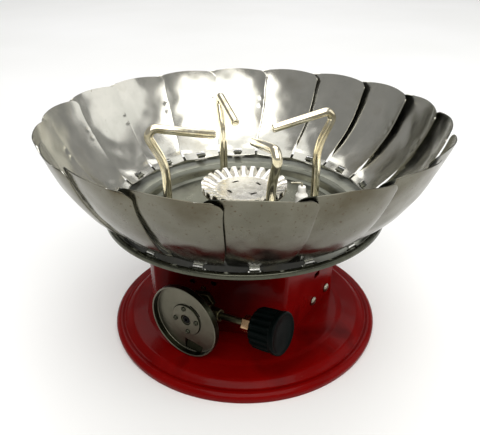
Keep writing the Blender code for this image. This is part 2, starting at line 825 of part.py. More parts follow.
def makeMixer():
    top = burnerZ + mixerInCup
    low = top - mixerLength
    bore = mixerRadius - mixerWall
    tube = turned("mixing_tube", [(mixerRadius, top), (mixerRadius, low), (bore, low), (bore, top)],
                  smallSteps, dullSteel)
    baked(tube)
    for index, direction in enumerate(((1, 0, 0), (0, 1, 0))):
        start = Vector((0.0, 0.0, low + airHoleRise)) - Vector(direction) * (mixerRadius + cutOverrun)
        through = 2 * (mixerRadius + cutOverrun)
        hole = rod("cut_air_%d" % index, airHoleRadius, through, start, direction, steps=12)
        boolean(tube, hideCutter(hole), 'DIFFERENCE')
    nutFoot = panUnderZ - gap - burnerNutHeight
    hexNut("burner_nut", burnerNutRadius, burnerNutHeight, mixerRadius + gap, (0.0, 0.0, nutFoot), (0, 0, 1))
    return smooth(tube)


def makeJet():
    top = burnerZ + mixerInCup - mixerLength + jetHeight * jetInTubeShare
    profile = [(jetBore, top + jetTipHeight), (jetTipRadius, top + jetTipHeight)]
    profile += [(jetTipRadius * jetConeShare, top), (jetRadius, top)]
    profile += [(jetRadius, top - jetHeight), (jetBore, top - jetHeight)]
    smooth(turned("jet", profile, smallSteps, brassMetal))
    return top - jetHeight


def makeGasTube(jetFoot):
    """From the valve's tail inwards, across to the middle, then up to the jet."""
    start = frontPoint(tailBeside(), hexHeight - tailLength, valveZ)
    lead = start - frontOut() * gasTubeLead
    path = rounded([start, lead, Vector((0.0, 0.0, valveZ)), Vector((0.0, 0.0, jetFoot - gap))], gasTubeBend)
    wire("gas_tube", path, gasTubeRadius, brassMetal)


def tailBeside():
    """Where the valve's tail meets the front flat, beside the flat's middle."""
    return valveX * math.cos(frontTurn) + stemY * math.sin(frontTurn)


def stemDirection():
    return Vector((math.cos(stemTilt), 0.0, math.sin(stemTilt)))


def makeValve():
    """Barrel behind the connector, a hexagon and threaded tail square to the front flat, the stem's boss."""
    back = cupY + cupDepth + cupWall + gap
    seat = Vector((valveX, stemY, valveZ))
    axis = stemDirection()
    inwards = -frontOut()
    length = stemY + valveBack - back
    body = rod("valve_body", barrelRadius, length, (valveX, back, valveZ), (0, 1, 0), brassMetal)
    start = frontPoint(tailBeside(), gap + hexHeight, valveZ)
    hexagon = rod("join_valve_hex", hexRadius, hexHeight, start, inwards, steps=6)
    neck = rod("join_valve_neck", tailRadius, (start - seat).dot(inwards) + hexHeight / 2, seat, inwards)
    tail = rod("join_valve_tail", tailRadius, tailLength, start, inwards)
    boss = rod("join_valve_boss", bossRadius, bossLength, seat, axis)
    for piece in (neck, hexagon, tail, boss):
        boolean(body, hideCutter(piece), 'UNION')
    bore = rod("cut_valve_bore", stemRadius + turnGap, bossBoreDepth + cutOverrun,
               seat + axis * (bossLength - bossBoreDepth), axis)
    boolean(body, hideCutter(bore), 'DIFFERENCE')
    inside = frontPoint(tailBeside(), -housingSheet - gap, valveZ)
    hexNut("valve_locknut", locknutRadius, locknutHeight, tailRadius + gap, inside, inwards)
    return smooth(body)


def makeStem():
    """Stem, its nut and the knob share one axis and turn together."""
    axis = stemDirection()
    seat = Vector((valveX, stemY, valveZ))
    start = bossLength - bossBoreDepth + gap
    length = knobPlace + stemInKnob - start
    stem = rod("valve_stem", stemRadius, length, seat + axis * start, axis, dullSteel, steps=12)
    smooth(stem)
    hexNut("stem_nut", stemNutRadius, stemNutLength, stemRadius + gap, seat + axis * stemNutPlace, axis)
    makeKnob(seat, axis)


def makeKnob(seat, axis):
    """Rings of points along the knob: a ribbed grip, then a plain flange and a flat face."""
    around = knobRibCount * 4
    flange = knobLength - knobFlangeLength
    rings = []
    for share, size, rib in knobRingShares:
        rings.append((knobLength * share, knobRadius * size, knobRibDepth * rib))
    edge = knobRibDepth
    rings.append((flange, knobFlangeRadius - edge, 0.0))
    rings.append((flange + edge, knobFlangeRadius, 0.0))
    rings.append((knobLength - edge, knobFlangeRadius, 0.0))
    rings.append((knobLength, knobFlangeRadius - edge, 0.0))
    points = []
    for height, radius, rib in rings:
        for step in range(around):
            angle = math.tau * step / around
            points.append(tuple(polar(radius + rib * math.cos(knobRibCount * angle), angle, height)))
    faces = [tuple(range(around))[::-1]]
    for ring in range(len(rings) - 1):
        start = ring * around
        for step in range(around):
            ahead = (step + 1) % around
            faces.append((start + step, start + ahead, start + around + ahead, start + around + step))
    faces.append(tuple(range((len(rings) - 1) * around, len(rings) * around)))
    knob = addObject("knob", meshFrom("knob", points, faces), blackPlastic)
    knob.matrix_world = Matrix.Translation(seat + axis * knobPlace) @ along(axis)
    bore = rod("cut_knob_bore", stemRadius + gap, stemInKnob + gap + cutOverrun,
               seat + axis * (knobPlace - cutOverrun), axis, steps=12)
    boolean(knob, hideCutter(bore), 'DIFFERENCE')
    return smooth(knob)


def makeConnector():
    """A shallow cup, open towards the cartridge, with a hub plate, four staked pins and a seal."""
    place = Matrix.Translation((valveX, cupY, valveZ)) @ along((0, 1, 0))
    inner = cupRadius - cupWall
    floor = cupDepth
    profile = [(cupNeckRadius - gap, floor), (inner, floor), (inner, cupLip), (inner, 0.0), (cupRadius, 0.0)]
    profile += [(cupRadius, floor), (cupRadius - cupWall * cupSlantShare, floor + cupWall)]
    profile.append((cupNeckRadius - gap, floor + cupWall))
    cup = turned("connector_cup", profile, roundSteps, chromePlate)
    cup.matrix_world = place
    baked(cup)
    notch = block("cut_notch", (notchWidth, cupDepth + 2 * cutOverrun, notchHeight),
                  (valveX + notchWidth * notchPlaceShare, cupY + cupDepth + cutOverrun,
                   valveZ - inner + notchHeight * notchDropShare))    # leaves the rim's front edge whole
    boolean(cup, hideCutter(notch), 'DIFFERENCE')
    steps = 6
    angles = [hookSlotFrom + (hookSlotTo - hookSlotFrom) * step / steps for step in range(steps + 1)]
    outline = [polar(hookSlotRadius, angle, 0.0) for angle in angles]
    outline += [polar(hookSlotRadius + hookSlotWidth, angle, 0.0) for angle in reversed(angles)]
    slot = prism("cut_hook_slot", outline, cupWall + cutOverrun)
    back = cupY + floor + cupWall + cutOverrun / 2
    slot.matrix_world = Matrix.Translation((valveX, back, valveZ)) @ upright
    boolean(cup, hideCutter(slot), 'DIFFERENCE')
    smooth(cup)
    back = floor - gap
    face = back - hubHeight
    profile = [(hubRadius, back), (hubRadius - gap, face), (hubBore, face), (hubBore, back)]
    hub = turned("connector_hub", profile, smallSteps, chromePlate)
    hub.matrix_world = place
    smooth(hub)
    for index in range(4):
        angle = math.tau * index / 4 + pinPhase
        spot = (valveX + pinCircle * math.cos(angle), cupY + face - gap, valveZ + pinCircle * math.sin(angle))
        smooth(rod("hub_pin_%d" % (index + 1), pinRadius, pinHeight, spot, (0, -1, 0), dullSteel, steps=12))
    seal = turned("connector_seal", [(hubBore - gap, sealHeight), (hubBore - gap, 0.0), (sealBore, 0.0),
                                     (sealBore, sealHeight)], 16, blackRubber)
    seal.matrix_world = Matrix.Translation((valveX, cupY + face + gap, valveZ)) @ along((0, 1, 0))
    smooth(seal)


def makeElectrode():
    spot = polar(electrodeRadius, electrodeAngle, 0.0)
    seat = panFloorZ + gap
    step = panFloorZ + ceramicStep
    low = panFloorZ - ceramicBelow
    flange = seat + ceramicFlangeHeight
    profile = [(0.0, ceramicTopZ), (ceramicTipRadius, ceramicTopZ), (ceramicTipRadius, step)]
    profile += [(ceramicRadius, step), (ceramicRadius, flange), (ceramicFlangeRadius, flange)]
    profile += [(ceramicFlangeRadius, seat), (ceramicRadius, seat), (ceramicRadius, low), (0.0, low)]
    ceramic = turned("electrode_ceramic", profile, 16, whiteCeramic, closed=False)
    ceramic.location = (spot.x, spot.y, 0.0)
    smooth(ceramic)
    inwards = -spot.normalized()
    low = spot + Vector((0.0, 0.0, ceramicTopZ + gap))
    high = low + Vector((0.0, 0.0, electrodeRise))
    path = rounded([low, high, high + inwards * electrodeReach], electrodeBend)
    wire("electrode_wire", path, electrodeWire, dullSteel)
    return spot


def makePiezo(spot):
    """Igniter body behind the right flat, its ring nut outside and its sprung button."""
    inside = rightFlat - housingSheet - gap
    body = block("piezo_body", (piezoLength, piezoWidth, piezoWidth),
                 (inside - piezoLength / 2, piezoY, piezoZ), blackPlastic)
    end = rightFlat + piezoNeckOut
    neckLength = end - inside + cutOverrun
    neck = rod("join_piezo_neck", piezoNeckRadius, neckLength, (end - neckLength, piezoY, piezoZ), (1, 0, 0))
    boolean(body, hideCutter(neck), 'UNION')
    bore = rod("cut_piezo_bore", buttonRadius + turnGap, piezoBoreDepth + cutOverrun,
               (end - piezoBoreDepth, piezoY, piezoZ), (1, 0, 0))
    boolean(body, hideCutter(bore), 'DIFFERENCE')
    bore = piezoNeckRadius + gap
    nut = turned("piezo_nut", [(piezoNutRadius, piezoNutHeight), (piezoNutRadius, 0.0), (bore, 0.0),
                               (bore, piezoNutHeight)], smallSteps, blackPlastic)
    nut.matrix_world = Matrix.Translation((rightFlat + gap, piezoY, piezoZ)) @ along((1, 0, 0))
    smooth(nut)
    smooth(rod("piezo_button", buttonRadius, buttonOut + buttonIn, (end - buttonIn, piezoY, piezoZ),
               (1, 0, 0), redPlastic, bevel=buttonEdge))
    top = spot + Vector((0.0, 0.0, panFloorZ - ceramicBelow - gap))
    low = top - Vector((0.0, 0.0, leadDrop))
    rear = Vector((inside - piezoLength - gap, piezoY, piezoZ))
    far = Vector((rear.x - leadLoop, low.y, low.z))
    side = Vector((far.x, piezoY, piezoZ))
    wire("electrode_lead", rounded([top, low, far, side, rear], leadBend), leadRadius, blackRubber)


makeBase()
makeHousing()
makeBracket()
makeRivets()
makePan()
makePetals()
makeSupports()
makeBushes()
makeBurnerCup()
makeCrown()
makeMixer()
makeGasTube(makeJet())
makeValve()
makeStem()
makeConnector()
makePiezo(makeElectrode())
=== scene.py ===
from math import acos, cos, pi, radians, sin, tan, tanh, tau

import bmesh
import bpy
import numpy as np
from mathutils import Matrix, Vector


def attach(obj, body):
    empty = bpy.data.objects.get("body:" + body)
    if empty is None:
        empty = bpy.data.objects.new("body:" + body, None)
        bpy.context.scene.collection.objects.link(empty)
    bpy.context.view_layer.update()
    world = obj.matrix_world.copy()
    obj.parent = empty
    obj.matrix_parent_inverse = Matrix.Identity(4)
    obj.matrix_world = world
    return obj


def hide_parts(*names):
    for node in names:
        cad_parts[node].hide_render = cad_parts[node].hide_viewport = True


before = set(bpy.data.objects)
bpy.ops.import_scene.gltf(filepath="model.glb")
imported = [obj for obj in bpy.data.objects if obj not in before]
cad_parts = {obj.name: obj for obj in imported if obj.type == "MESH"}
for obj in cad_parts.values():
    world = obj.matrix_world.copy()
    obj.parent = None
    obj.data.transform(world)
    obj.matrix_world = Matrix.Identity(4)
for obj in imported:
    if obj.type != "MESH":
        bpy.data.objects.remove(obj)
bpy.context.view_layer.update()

# Portable gas burner with a petal windshield: looks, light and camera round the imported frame.
# Sizes in the dictionaries are millimetres and degrees, and meshFrom turns them to metres.

mm = 0.001
bpy.context.scene.view_settings.view_transform = 'Standard'   # tones as a camera's own picture


# Small tools for lines and grids

def gridFaces(rows, columns, wrapRows, wrapColumns):
    # one quad between each point of the grid, the next in its row and the two in the next row
    row, column = np.meshgrid(np.arange(rows if wrapRows else rows - 1),
                              np.arange(columns if wrapColumns else columns - 1), indexing="ij")
    nextRow, nextColumn = (row + 1) % rows, (column + 1) % columns
    quads = [row * columns + column, row * columns + nextColumn,
             nextRow * columns + nextColumn, nextRow * columns + column]
    return np.stack(quads, -1).reshape(-1, 4)


def turned(profile, steps):
    # each profile point (radius, height) carried round the Z axis: (r cos a, r sin a, h)
    profile = np.asarray(profile, float)
    angle = np.arange(steps) * tau / steps
    x = profile[:, :1] * np.cos(angle)
    y = profile[:, :1] * np.sin(angle)
    return np.stack([x, y, np.broadcast_to(profile[:, 1:], x.shape)], -1)


def rounded(corners, radius, steps=5):
    # each corner becomes a parabola tangent to both sides, cut back by radius / tan(half the corner's angle)
    corner, radius = np.asarray(corners, float), np.asarray(radius, float)
    back, ahead = np.roll(corner, 1, 0) - corner, np.roll(corner, -1, 0) - corner
    backLength, aheadLength = np.linalg.norm(back, axis=1), np.linalg.norm(ahead, axis=1)
    back, ahead = back / backLength[:, None], ahead / aheadLength[:, None]
    half = np.arccos(np.clip((back * ahead).sum(1), -1, 1)) / 2
    most = 0.47 * np.minimum(backLength, aheadLength)     # the cuts of two corners never meet on their side
    cut = np.minimum(radius / np.tan(np.maximum(half, 0.01)), most)
    start, end = (corner + back * cut[:, None])[:, None], (corner + ahead * cut[:, None])[:, None]
    t = np.linspace(0, 1, steps + 1)[None, :, None]
    curve = (1 - t) ** 2 * start + 2 * t * (1 - t) * corner[:, None] + t ** 2 * end
    return curve.reshape(-1, corner.shape[1])


def apart(line, least=1e-3):
    # true for each point but those that repeat the one before
    return np.append(True, np.linalg.norm(np.diff(line, axis=0), axis=1) > least)


def tangents(line):
    # the unit direction at each point: the gradient along the line over its own length
    run = np.gradient(line, axis=0)
    return run / np.linalg.norm(run, axis=1)[:, None]


def leftOf(run):
    # each flat direction turned a quarter to its left: (-y, x)
    return np.stack([-run[:, 1], run[:, 0]], -1)


def sheetLoop(line, thickness):
    # a pressed sheet's section: the line, and back along the line moved to its left by the thickness
    line = line[apart(line, 1e-4)]
    return np.concatenate([line, (line + leftOf(tangents(line)) * thickness)[::-1]])


def ringAngles(count, phase):
    # equal steps round the axis from the phase
    return [radians(phase) + index * tau / count for index in range(count)]


def around(angle, out, across, up):
    # places given outwards, sideways and upwards at an angle: (o cos a - s sin a, o sin a + s cos a, u)
    x = out * cos(angle) - across * sin(angle)
    y = out * sin(angle) + across * cos(angle)
    return np.stack([x, y, up], -1)


def placed(points, origin, direction):
    # the grid's own Z axis turned to the direction, then moved to the origin
    turn = np.array(Vector(direction).to_track_quat('Z', 'Y').to_matrix())
    return np.asarray(points) @ turn.T + np.asarray(origin, float)


def swept(path, radius, angle, sides):
    # a circle carried along a path in the upright plane at the angle: centre + r (side cos a + up sin a),
    # where the side is square to that plane and up is the tangent x side
    keep = apart(path, 1e-4)
    radius = np.broadcast_to(np.asarray(radius, float), len(path))[keep]
    path = path[keep]
    side = np.broadcast_to((sin(angle), -cos(angle), 0.0), path.shape)
    up = np.cross(tangents(path), side)
    turn = np.arange(sides) * tau / sides
    ring = side[:, None] * np.cos(turn)[None, :, None] + up[:, None] * np.sin(turn)[None, :, None]
    return path[:, None] + ring * radius[:, None, None]


def box(low, high):
    # the box's eight corners as a grid of two squares
    square = np.array([[low[0], low[1]], [high[0], low[1]], [high[0], high[1]], [low[0], high[1]]])
    return np.stack([np.insert(square, 2, low[2], axis=1), np.insert(square, 2, high[2], axis=1)])


# Small tools for pieces

def meshFrom(name, grids, caps=False, skip=None):
    # grids: (points, wrap rows, wrap columns) in millimetres, each a closed shell once its poles are merged
    points, faces, base = [], [], 0
    for grid, wrapRows, wrapColumns in grids:
        rows, columns = grid.shape[:2]
        points.append(grid.reshape(-1, 3) * mm)
        faces.append(gridFaces(rows, columns, wrapRows, wrapColumns) + base)
        base += rows * columns
    points, faces = np.concatenate(points), np.concatenate(faces)
    if skip is not None:
        faces = faces[~skip]
    mesh = bpy.data.meshes.new(name)
    mesh.from_pydata(points.tolist(), [], faces.tolist())
    work = bmesh.new()
    work.from_mesh(mesh)
    bmesh.ops.remove_doubles(work, verts=work.verts, dist=0.002 * mm)
    if caps:
        bmesh.ops.holes_fill(work, edges=[edge for edge in work.edges if edge.is_boundary], sides=0)
    bmesh.ops.recalc_face_normals(work, faces=work.faces)
    work.to_mesh(mesh)
    work.free()
    piece = bpy.data.objects.new(name, mesh)
    bpy.context.scene.collection.objects.link(piece)
    return piece


def shell(name, *grids, ring=False, caps=False):
    # grids whose columns run round; a ring's rows close on themselves as well
    return meshFrom(name, [(grid, ring, True) for grid in grids], caps)


def plain(piece):
    # the modifiers' result becomes the piece's own mesh
    graph = bpy.context.evaluated_depsgraph_get()
    mesh = bpy.data.meshes.new_from_object(piece.evaluated_get(graph))
    piece.modifiers.clear()
    piece.data = mesh


def combined(piece, others, operation):
    # cut by the other shells, or made one solid with them; they go away
    for other in others:
        step = piece.modifiers.new("solid", 'BOOLEAN')
        step.object = other
        step.operation = operation
        step.solver = 'EXACT'
    plain(piece)
    for other in others:
        bpy.data.objects.remove(other, do_unlink=True)


def softened(piece, width, angle=48.0):
    # a small round on each sharp edge, as tumbling or plating leaves it
    edge = piece.modifiers.new("edges", 'BEVEL')
    edge.width = width * mm
    edge.segments = 2
    edge.limit_method = 'ANGLE'
    edge.angle_limit = radians(angle)
    edge.use_clamp_overlap = True
    plain(piece)


def finished(piece, materials, node, body="burner_body", sharp=52.0, flats=False):
    for material in materials:
        piece.data.materials.append(material)
    piece.data.shade_smooth()
    piece.data.set_sharp_from_angle(angle=radians(sharp))
    if flats:
        level = piece.modifiers.new("flats", 'WEIGHTED_NORMAL')   # large flats keep their own normal
        level.keep_sharp = True
    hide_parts(node)
    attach(piece, body)


def faceRows(piece, what):
    # the faces' normals or centres as three rows: x, y and z
    values = np.zeros(len(piece.data.polygons) * 3)
    piece.data.polygons.foreach_get(what, values)
    return values.reshape(-1, 3).T


def dressed(piece, finish):
    # which of the piece's materials each face takes
    piece.data.polygons.foreach_set("material_index", finish.astype(np.int32))


# Materials

def toLinear(colour):
    # sRGB hex to linear light by the standard curve
    values = np.array([int(colour[index:index + 2], 16) for index in (0, 2, 4)]) / 255
    linear = np.where(values <= 0.04045, values / 12.92, ((values + 0.055) / 1.055) ** 2.4)
    return (*linear.tolist(), 1.0)


def setInputs(node, settings):
    for key, value in settings.items():
        node.inputs[key].default_value = toLinear(value) if isinstance(value, str) else value


def setLinks(tree, node, links):
    for key, source in links.items():
        tree.links.new(source, node.inputs[key])


def addNode(tree, kind, settings, links):
    # settings name a property of the node, or one of its inputs by name or number; stops fill a colour ramp
    node = tree.nodes.new("ShaderNode" + kind)
    for key, value in settings.items():
        if key == "stops":
            ramp = node.color_ramp.elements
            while len(ramp) < len(value):
                ramp.new(0.5)
            for stop, (place, colour) in zip(ramp, value):
                stop.position = place
                stop.color = toLinear(colour)
        elif isinstance(key, str) and hasattr(node, key):
            setattr(node, key, value)
        else:
            setInputs(node, {key: value})
    setLinks(tree, node, links)
    return node


def laidOver(tree, under, value, clear, full, share, film):
    # a film over the colour under it: none of it where the value is clear, that share of it where it is full
    fade = addNode(tree, "MapRange", {"From Min": clear, "From Max": full, "To Max": share}, {"Value": value})
    links = {0: fade.outputs["Result"], 6: under}
    return addNode(tree, "Mix", {"data_type": 'RGBA', 7: film}, links).outputs[2]


def makeFinish(name, kind, **own):
    # tones mixed by a soft cloud, fine specks over them, uneven polish and a slight unevenness; where painted
    # shade is given, a dark film fades out along one axis of the object or round one spot of it
    look = {**kind, **own}
    material = bpy.data.materials.new(name)
    material.use_nodes = True
    tree = material.node_tree
    shader = tree.nodes["Principled BSDF"]
    setInputs(shader, look["shader"])
    here = addNode(tree, "TexCoord", {}, {}).outputs["Object"]
    noise = {}
    for (key, detail, swirl), size in zip(look["noises"], look["sizes"]):
        where = here
        if key == "grain" and "stretch" in look:
            where = addNode(tree, "Mapping", {"Scale": look["stretch"]}, {"Vector": here}).outputs["Vector"]
        # a scale of one over the size in metres gives features of about that size
        settings = {"Scale": 1 / (size * mm), "Detail": detail, "Distortion": swirl}
        noise[key] = addNode(tree, "TexNoise", settings, {"Vector": where}).outputs["Fac"]
    stops = list(zip(look["stops"], look["tones"].split()))
    colour = addNode(tree, "ValToRGB", {"stops": stops}, {"Fac": noise["cloud"]}).outputs["Color"]
    if "speck" in look:
        start, share, film = look["speck"]
        colour = laidOver(tree, colour, noise["speck"], start, start + look["speckFade"], share, film)
    # painted shade: a dark film fading along one axis, standing in for shadow and dark reflections
    if "soot" in look:
        axis, full, clear, share, film = look["soot"]
        split = addNode(tree, "SeparateXYZ", {}, {0: here})
        colour = laidOver(tree, colour, split.outputs[axis], clear * mm, full * mm, share, film)
    # painted shade: a dark film fading out round one spot of the object
    if "grime" in look:
        spot, full, clear, share, film = look["grime"]
        away = addNode(tree, "VectorMath", {"operation": 'DISTANCE', 1: Vector(spot) * mm}, {0: here})
        colour = laidOver(tree, colour, away.outputs["Value"], clear * mm, full * mm, share, film)
    links = {"Base Color": colour}
    if "rough" in look:
        (key, start, end), (low, high) = look["polish"], look["rough"]
        settings = {"From Min": start, "From Max": end, "To Min": low, "To Max": high}
        links["Roughness"] = addNode(tree, "MapRange", settings, {"Value": noise[key]}).outputs["Result"]
    for key, source in look["bumps"].items():
        strength, depth = look[key]
        under = {"Normal": links["Normal"]} if "Normal" in links else {}
        bump = addNode(tree, "Bump", {"Strength": strength, "Distance": depth * mm},
                       {"Height": noise[source], **under})
        links["Normal"] = bump.outputs["Normal"]
    if "Coat Weight" in look["shader"]:
        links["Coat Normal"] = links["Normal"]
    setLinks(tree, shader, links)
    return material


# What each kind of finish says unless a look says something else. A noise has a detail and a swirl, and its
# size in mm stands in the look; polish is the noise and the stretch of it that roughness follows; specks
# have a start, a share and a colour; a bump or wave has a strength and a depth in mm.
metal = dict(
    shader={"Metallic": 1.0}, noises=(("cloud", 4.0, 0.0), ("speck", 2.0, 0.0), ("grain", 3.0, 0.0)),
    stops=(0.30, 0.55, 0.78), stretch=(1, 1, 1), speckFade=0.08, polish=("grain", 0.3, 0.7),
    bumps={"bump": "grain", "wave": "cloud"}, bump=(0.1, 0.01), wave=(0.1, 0.05))
paint = dict(
    noises=(("cloud", 5.0, 0.6), ("speck", 2.0, 0.0), ("grain", 1.0, 0.0), ("sag", 1.0, 0.0)),
    stops=(0.30, 0.55, 0.75), speckFade=0.06, polish=("cloud", 0.35, 0.7),
    bumps={"bump": "grain", "wave": "sag"})
plastic = dict(
    noises=(("cloud", 3.0, 0.0), ("grain", 2.0, 0.0)), stops=(0.3, 0.6, 0.8), polish=("cloud", 0.35, 0.65),
    bumps={"bump": "grain"})

# Nickel-plated sheet, bright on its inner face: a clear but wavy mirror with a cool grey tone
bladeInner = makeFinish(
    "brightNickelPlatedSheet", metal, tones="c4c3b9 d2d0c6 bdb9ab", stops=(0.30, 0.55, 0.75),
    sizes=(26, 1.4, 7.0), speck=(0.70, 0.5, "6b6252"), stretch=(1, 1, 0.2), rough=(0.14, 0.26),
    bump=(0.1, 0.02), wave=(0.3, 0.4))

# The same sheet's outer face: satin from handling, a warm heat tint, small rust specks, and painted shade
# that darkens its foot
bladeOuter = makeFinish(
    "heatStainedNickelPlatedSheet", metal, tones="5f5d51 6b695d 575244", stops=(0.25, 0.50, 0.72),
    sizes=(22, 1.3, 6.0), speck=(0.64, 0.7, "4a3722"), stretch=(1, 1, 0.25), rough=(0.15, 0.28),
    bump=(0.15, 0.02), wave=(0.4, 0.5), soot=("Z", 78.5, 81.5, 0.85, "14130f"))   # full at, clear at, share

# The outer face where a neighbour laps over it: painted shade, nearly black, so that each seam reads as the
# dark shadow line under the lapping edge
bladeLap = makeFinish(
    "sootedSheetLap", metal, tones="24251e 2f3027 1b1b16", sizes=(8, 0.9, 2.5), speck=(0.66, 0.4, "4d4a3c"),
    stretch=(1, 1, 0.25), rough=(0.30, 0.45), bump=(0.1, 0.02), wave=(0.1, 0.1))

# Stainless sheet, pressed and polished: darker than the petals, with faint drawing marks
panMetal = makeFinish(
    "pressedStainlessSheet", metal, tones="5f6158 6a6b61 57574e", stops=(0.28, 0.52, 0.75),
    sizes=(18, 1.3, 6.0), speck=(0.68, 0.5, "4a4230"), rough=(0.26, 0.36),
    bump=(0.08, 0.02), wave=(0.15, 0.2))

# The same sheet on the flat rim under the petals, with painted shade and painted dark reflection: pale at the
# back and nearly black at the front
channelMetal = makeFinish(
    "sootedStainlessChannel", metal, tones="a3a59b aeb0a6 96968c", sizes=(9, 0.9, 1.5),
    speck=(0.66, 0.4, "4a4638"), rough=(0.30, 0.45), bump=(0.1, 0.02), soot=("Y", -38.0, 8.0, 0.97, "0b0b09"))

# The same sheet round the rolled lip as a darker copy of it, a painted dark reflection: a darker band with a
# fine bright line
rimMetal = makeFinish(
    "stainlessLipPaintedDarkReflection", metal, tones="45473d 525348 3a3b31", sizes=(12, 0.9, 2.5),
    speck=(0.68, 0.4, "6a6552"), rough=(0.20, 0.30), bump=(0.1, 0.02), wave=(0.12, 0.1))

# The same sheet where it was sheared and bent into tabs, as a much brighter copy: painted highlight for the
# light the bends catch
tabMetal = makeFinish(
    "stainlessTabsPaintedHighlight", metal, tones="d9d9d2 e6e6e0 c4c3ba", sizes=(4, 0.7, 1.5),
    speck=(0.70, 0.4, "6f6b5c"), rough=(0.16, 0.28), bump=(0.08, 0.01), wave=(0.08, 0.05))

# Nickel-plated drawn wire that heat has turned straw yellow: sharp highlights along the wire
wireMetal = makeFinish(
    "warmNickelPlatedWire", metal, tones="f1ebd8 e7dec2 d6c8a3", stops=(0.30, 0.52, 0.72),
    sizes=(9, 0.8, 1.2), speck=(0.70, 0.4, "7c5f35"), stretch=(1, 1, 0.1), rough=(0.08, 0.18),
    bump=(0.06, 0.01), wave=(0.05, 0.1))

# Satin chrome plate over a pressed cup, dulled by age: grey and slightly warm
cupMetal = makeFinish(
    "satinChromePlate", metal, tones="605e51 6a675a 545246", stops=(0.30, 0.55, 0.75), sizes=(14, 0.8, 3.0),
    speck=(0.70, 0.35, "77705e"), rough=(0.36, 0.46), bump=(0.08, 0.012), wave=(0.1, 0.1))

# The same plate on the cup's walls, darkened as painted shade in the recess
wallMetal = makeFinish(
    "sootedChromePlate", metal, tones="2c2d22 38392c 22231a", stops=(0.30, 0.55, 0.75), sizes=(5, 0.8, 1.5),
    speck=(0.66, 0.5, "77745f"), rough=(0.28, 0.42), bump=(0.08, 0.012))

# Painted shade for the connector's flap behind the notch and the hub plate's edge and bore: nearly black
# olive
sootMetal = makeFinish(
    "sootedCutEdges", metal, tones="1f2118 2b2c20 161710", stops=(0.30, 0.55, 0.75), sizes=(2.5, 0.5, 0.8),
    speck=(0.64, 0.4, "6a6752"), rough=(0.40, 0.55), bump=(0.15, 0.01), wave=(0.15, 0.05))

# Zinc plating on the staked pins, gone dark in the punched hollow
pinMetal = makeFinish(
    "darkenedZincPlatedSteel", metal, tones="33342a 45463a 262720", stops=(0.30, 0.55, 0.75),
    sizes=(2, 0.5, 0.6), speck=(0.64, 0.5, "8a8772"), rough=(0.24, 0.4))

# Stainless lid, stamped and fluted: bright, with creamy highlights
crownMetal = makeFinish(
    "stampedStainlessLid", metal, tones="dddad3 d6d3cb c6c3b8", sizes=(8, 0.9, 3.0),
    speck=(0.70, 0.35, "8a7c58"), rough=(0.18, 0.28), bump=(0.02, 0.01), wave=(0.01, 0.1))

# Turned steel with zinc plating: pale grey with a faint turning grain, for rivets, bushes and small wire
turnedSteel = makeFinish(
    "zincPlatedSteel", metal, tones="8f8a7a a8a494 7b7566", sizes=(3, 0.5, 0.4), speck=(0.68, 0.5, "4c3d28"),
    rough=(0.22, 0.38), bump=(0.2, 0.01))

# Brass turned from bar: pale, with a slight pink where it has been handled
brassBar = makeFinish(
    "machinedBrass", metal, tones="c9a985 b9946c 94704c", sizes=(4, 0.6, 0.6), speck=(0.70, 0.4, "6e5433"),
    rough=(0.18, 0.32), bump=(0.2, 0.01))

# Brass and zinc-plated steel left to tarnish: olive and nearly dull, for the valve and its stem
dull = dict(metal, sizes=(4, 0.6, 0.8), speck=(0.70, 0.4, "2f2a1c"), rough=(0.30, 0.42), wave=(0.05, 0.05))
dullBrass = makeFinish("tarnishedMachinedBrass", dull, tones="45412f 514c36 383325")
dullSteel = makeFinish("oiledZincPlatedSteel", dull, tones="5c5947 68654f 4b4735")

# Red enamel sprayed on pressed steel and baked: deep gloss, darker where it is thick, with dust specks.
# Its orange peel is drawn coarser than real, so that it shows.
enamel = dict(
    paint, tones="640202 710403 4e0101", sizes=(34, 0.9, 3.0, 20), speck=(0.70, 0.5, "7a3028"),
    rough=(0.16, 0.34), bump=(0.12, 0.02), wave=(0.6, 0.5),
    shader={"IOR": 1.5, "Specular IOR Level": 0.04, "Coat Weight": 0.05, "Coat Roughness": 0.06,
            "Coat IOR": 1.45})
redEnamel = makeFinish("bakedRedEnamel", enamel)

# The same enamel on the drum, with painted shade: a dark brown film round the valve
drumEnamel = makeFinish("redEnamelPaintedShade", enamel, grime=((2.0, -38.0, 34.0), 20.0, 42.0, 0.8, "120202"))

# Thermoset moulded black with a fine grain: a slight sheen, greyer where it is rubbed
blackMoulded = makeFinish(
    "mouldedBlackThermoset", plastic, shader={"IOR": 1.54, "Specular IOR Level": 0.03},
    tones="010403 030807 060d0b", sizes=(7, 0.35), rough=(0.30, 0.48), bump=(0.35, 0.03))

redMoulded = makeFinish(       # glossy from the mould
    "mouldedRedPlastic", plastic, shader={"IOR": 1.49, "Specular IOR Level": 0.5},
    tones="8c1410 9d1a14 7a100d", sizes=(4, 0.3), rough=(0.22, 0.34), bump=(0.15, 0.03))

whiteCeramic = makeFinish(     # fired white, dry to the eye and slightly soiled
    "unglazedWhiteAlumina", plastic, shader={"IOR": 1.52, "Specular IOR Level": 0.5},
    tones="f2efe6 fbfaf5 ded8c8", sizes=(3, 0.5), rough=(0.35, 0.5), bump=(0.1, 0.03))

mattRubber = makeFinish(       # moulded, with a faint bloom
    "mattBlackRubber", plastic, shader={"IOR": 1.52, "Specular IOR Level": 0.12},
    tones="060606 0a0a09 121211", sizes=(2, 0.3), rough=(0.55, 0.75), bump=(0.2, 0.03))

# Matt floor paint, faintly uneven
floorPaint = makeFinish(
    "paintedStudioFloor", dict(noises=(("cloud", 2.0, 0.0),), bumps={}), tones="f4f4f2 fafaf9",
    stops=(0.3, 0.7), shader={"Roughness": 0.7, "Specular IOR Level": 0.1}, sizes=(400,))

print("materials made")


# Base dish: raised platform, a shoulder, then a rolled bead that stands on a turned-in foot

